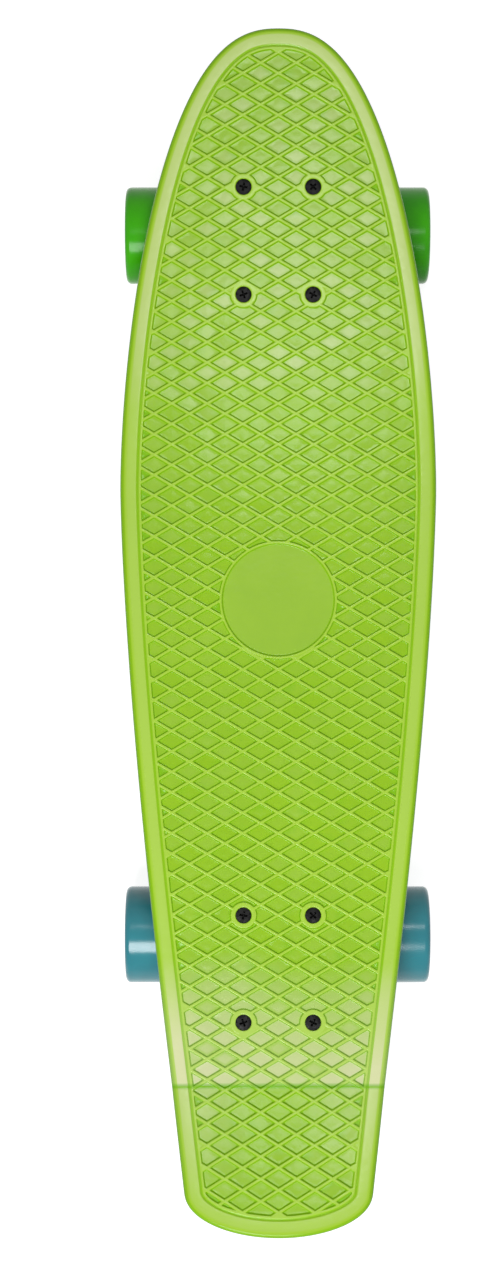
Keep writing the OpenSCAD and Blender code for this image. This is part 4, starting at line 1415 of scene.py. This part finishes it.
def lock_nut(across, height, bore):
    """Rows of a lock nut that hangs down from its face at 0."""
    hex_h = height * 0.72
    corner = across / 2 / math.cos(math.pi / 6)
    return [(0, bore), (0, across * 0.465), (-0.25, across * 0.5, across),
            (-0.55, corner * 0.965, across), (-0.95, corner, across),
            (-hex_h + 0.95, corner, across), (-hex_h + 0.55, corner * 0.965, across),
            (-hex_h + 0.2, across * 0.5, across), (-hex_h, across * 0.455, across),
            (-hex_h - 0.15, across * 0.44), (0.7 - height, across * 0.44),
            (0.25 - height, across * 0.425), (-height, across * 0.385), (-height, bore + 1.0),
            (0.8 - height, bore + 0.9), (0.8 - height, bore)]


def nylon_ring(height, bore):
    """The white insert that grips the thread, just inside a lock nut's mouth."""
    return [(0.15 - height, bore + 0.1), (0.15 - height, bore + 0.95), (1.0 - height, bore + 0.95),
            (1.0 - height, bore - 0.1)]


def hardware(name, rows, places, finish, body, slot, node, sides=72, pitch=1.0, closed=True):
    """One turned shape at each of its places, as one piece in place of a node."""
    made = turned(rows, sides, pitch, closed)
    make_piece(name, [(made, place) for place in places], finish, body, [node])


# Each lock nut's width across its flats, height and bore
KINGPIN_NUT, DECK_NUT, AXLE_NUT = (14.3, 8, 4.78), (9.5, 6, 2.43), (12.7, 8, 4.0)
print("a kingpin nut has", len(lock_nut(*KINGPIN_NUT)), "rings")

# %% Profiles of the kingpin and the axle
KINGPIN_R, AXLE_R, TRUCK_PITCH = 4.75, 3.97, 1.06
KINGPIN_HEX, HEX_H = 14.3, 6
ROAD_WASHER_AT = -17.1
# The top of the kingpin's head lies this far below the pad
HEAD_DOWN = 4.5
HEAD_AT = (PIN_DOWN - HEAD_DOWN) / math.cos(LEAN) - HEX_H
PIN_END = ROAD_WASHER_AT - KINGPIN_NUT[1] - 1.5
hex_corner = KINGPIN_HEX / 2 / math.cos(math.pi / 6)
pin_rows = [(PIN_END, KINGPIN_R - 1.3), (PIN_END + 0.9, KINGPIN_R - 0.5)]
pin_rows += threaded(PIN_END + 1.1, -10, KINGPIN_R, TRUCK_PITCH, 0.55)[1:]
pin_rows += [(HEAD_AT - 0.4, KINGPIN_R), (HEAD_AT, KINGPIN_R + 0.4)]
pin_rows += [(HEAD_AT + up, radius, KINGPIN_HEX)
             for up, radius in ((0, 6.9), (0.3, 7.3), (0.7, hex_corner), (5.2, hex_corner),
                                (5.7, 7.4), (HEX_H, 6.7))]
AXLE_END, THREAD_FROM = 92.5, 83
axle_rows = [(-AXLE_END, AXLE_R - 0.9), (0.8 - AXLE_END, AXLE_R - 0.3)]
axle_rows += threaded(1 - AXLE_END, -THREAD_FROM, AXLE_R, TRUCK_PITCH, 0.5)[1:]
axle_rows += [(-82.4, AXLE_R), (-40, AXLE_R), (40, AXLE_R), (82.4, AXLE_R)]
axle_rows += threaded(AXLE_END - 1, THREAD_FROM, AXLE_R, TRUCK_PITCH, 0.5)[:0:-1]
axle_rows += [(AXLE_END - 0.8, AXLE_R - 0.3), (AXLE_END, AXLE_R - 0.9)]
print("kingpin", round(HEAD_AT + HEX_H - PIN_END, 1), "mm long, axle", 2 * AXLE_END, "mm")

# %% Profiles of the bushings, then every piece of hardware
ROD = {"pitch": TRUCK_PITCH, "closed": False, "sides": 48}
AXLE_NUT_AT, BASE_T = 83.5, 6.5
bore = KINGPIN_R + 0.06
barrel = [(5, bore), (5, 11.1), (5.15, 11.45), (5.6, 11.7), (7, 11.93), (9.5, 12), (14.5, 12),
          (17, 11.93), (18.4, 11.7), (18.85, 11.4), (19, 11), (19, bore)]
cone = [(-15.5, bore), (-15.5, 8.4), (-15.35, 8.75), (-14.9, 8.95), (-13.2, 9.1), (-12, 9.6),
        (-9.2, 11.2), (-8, 11.8), (-7, 12), (-5.7, 12), (-5.2, 11.8), (-5, 11.4), (-5, bore)]
for end, truck_y in TRUCKS.items():
    pin = kingpin_frame(truck_y)
    middle = (0, truck_y + AXLE_FWD, AXLE_Z)
    along = frame_of(middle, (1, 0, 0))
    below = pin @ Matrix.Translation((0, 0, ROAD_WASHER_AT))
    hanger_set = f"{end}_hanger_set"
    screws = [frame_of((x, y, PAD_Z - BASE_T), (0, 0, 1)) for x, y in bolts_of(truck_y)]
    outer = [frame_of((way * AXLE_NUT_AT, middle[1], AXLE_Z), (-way, 0, 0)) for way in (-1, 1)]
    for name, rows, places, finish, body, slot, node, shape in (
            ("kingpin_bolt", pin_rows, [pin], zinc, "board", "zinc_steel", "kingpin", ROD),
            ("axle_rod", axle_rows, [along], zinc, hanger_set, "zinc_steel", "axle", ROD),
            ("barrel_bushing", barrel, [pin], cushion, "board", "bushing_urethane",
             "board_bushing", {}),
            ("cone_bushing", cone, [pin], cushion, "board", "bushing_urethane",
             "road_bushing", {}),
            ("kingpin_lock_nut", lock_nut(*KINGPIN_NUT), [below], zinc, "board", "zinc_steel",
             "kingpin_nut", {}),
            ("deck_lock_nuts", lock_nut(*DECK_NUT), screws, zinc, "board", "zinc_steel",
             "lock_nuts", {"sides": 48}),
            ("axle_lock_nuts", lock_nut(*AXLE_NUT), outer, zinc, hanger_set, "zinc_steel",
             "axle_nuts", {})):
        hardware(f"{end}_{name}", rows, places, finish, body, slot, f"{end}_{node}", **shape)
    for name, places, nut, body in (("kingpin", [below], KINGPIN_NUT, "board"),
                                    ("deck", screws, DECK_NUT, "board"),
                                    ("axle", outer, AXLE_NUT, hanger_set)):
        insert = turned(nylon_ring(*nut[1:]), 48, closed=True)
        make_piece(f"{end}_{name}_nut_inserts", [(insert, place) for place in places], white_ring,
                   body)

# %% [markdown]
# ## Floor, lamps and world
# The board stands on a plain white floor in a white room, and most of the light comes from all
# around it. Raising the light until the floor is white would wash the board out. So the floor and
# the room glow at full strength only for rays that look at them, straight or in a mirror, and
# give far less light themselves. Two round lamps add direction: a small one over the nose makes
# short glints in the pockets there, and a wide soft one behind and to the left brightens the
# sides of the ribs that face it.

# %% Floor
FLOOR_HALF, FLOOR_GLOW = 4, 0.88
bed = bmesh.new()
bed.faces.new([bed.verts.new((x * FLOOR_HALF, y * FLOOR_HALF, 0))
               for x, y in ((-1, -1), (1, -1), (1, 1), (-1, 1))])
floor_mesh = bpy.data.meshes.new("studio_floor")
bed.to_mesh(floor_mesh)
bed.free()
floor = in_scene("studio_floor", floor_mesh)


def seen_by_eye(finish_tree):
    """1 for rays that look straight, by mirror or through glass, and 0 for light's own rays."""
    path = finish_tree.nodes.new("ShaderNodeLightPath")
    seen = path.outputs["Is Camera Ray"]
    for ray in ("Is Glossy Ray", "Is Transmission Ray"):
        most = finish_tree.nodes.new("ShaderNodeMath")
        most.operation = "MAXIMUM"
        finish_tree.links.new(seen, most.inputs[0])
        finish_tree.links.new(path.outputs[ray], most.inputs[1])
        seen = most.outputs[0]
    return seen


paper = Finish("white_floor", Roughness=0.9, Specular_IOR_Level=0.1)
fibre = paper.noise(25, 3, 0.5)
paper.set(Base_Color=paper.ramp(fibre, (0.3, grey(0.42)), (0.7, grey(0.44))),
          Emission_Color=(1, 1, 1, 1),
          Emission_Strength=paper.times(seen_by_eye(paper.tree), FLOOR_GLOW))
floor_mesh.materials.append(paper.material)
print("floor:", 2 * FLOOR_HALF, "m wide")

# %% Lamps


def lamp(name, place, aim, size, power):
    """A round area lamp at a place, aimed at another; metres and watts."""
    light = bpy.data.lights.new(name, "AREA")
    light.shape = "DISK"
    light.size = size
    light.energy = power
    made = in_scene(name, light)
    made.location = place
    made.rotation_euler = (Vector(aim) - Vector(place)).to_track_quat("-Z", "Y").to_euler()


lamp("lamp_over_nose", (0.03, 0.26, 1.02), (0.03, 0.24, 0), 0.22, 1.65)
lamp("soft_key_behind", (-0.2, -0.82, 1.45), (0, 0, 0.09), 0.7, 17.1)

# %% World
# What the room gives to the board as light, of the full strength with which it is seen
ROOM_LIGHT = 0.24
world = bpy.data.worlds.new("white_room")
world.use_nodes = True
scene.world = world
room = world.node_tree
backdrop = room.nodes["Background"]
backdrop.inputs["Color"].default_value = (1, 1, 1, 1)
strength = room.nodes.new("ShaderNodeMapRange")
room.links.new(seen_by_eye(room), strength.inputs["Value"])
strength.inputs["To Min"].default_value = ROOM_LIGHT
strength.inputs["To Max"].default_value = 1.0
room.links.new(strength.outputs["Result"], backdrop.inputs["Strength"])
print("world:", world.name)

# %% [markdown]
# ## The dressed board
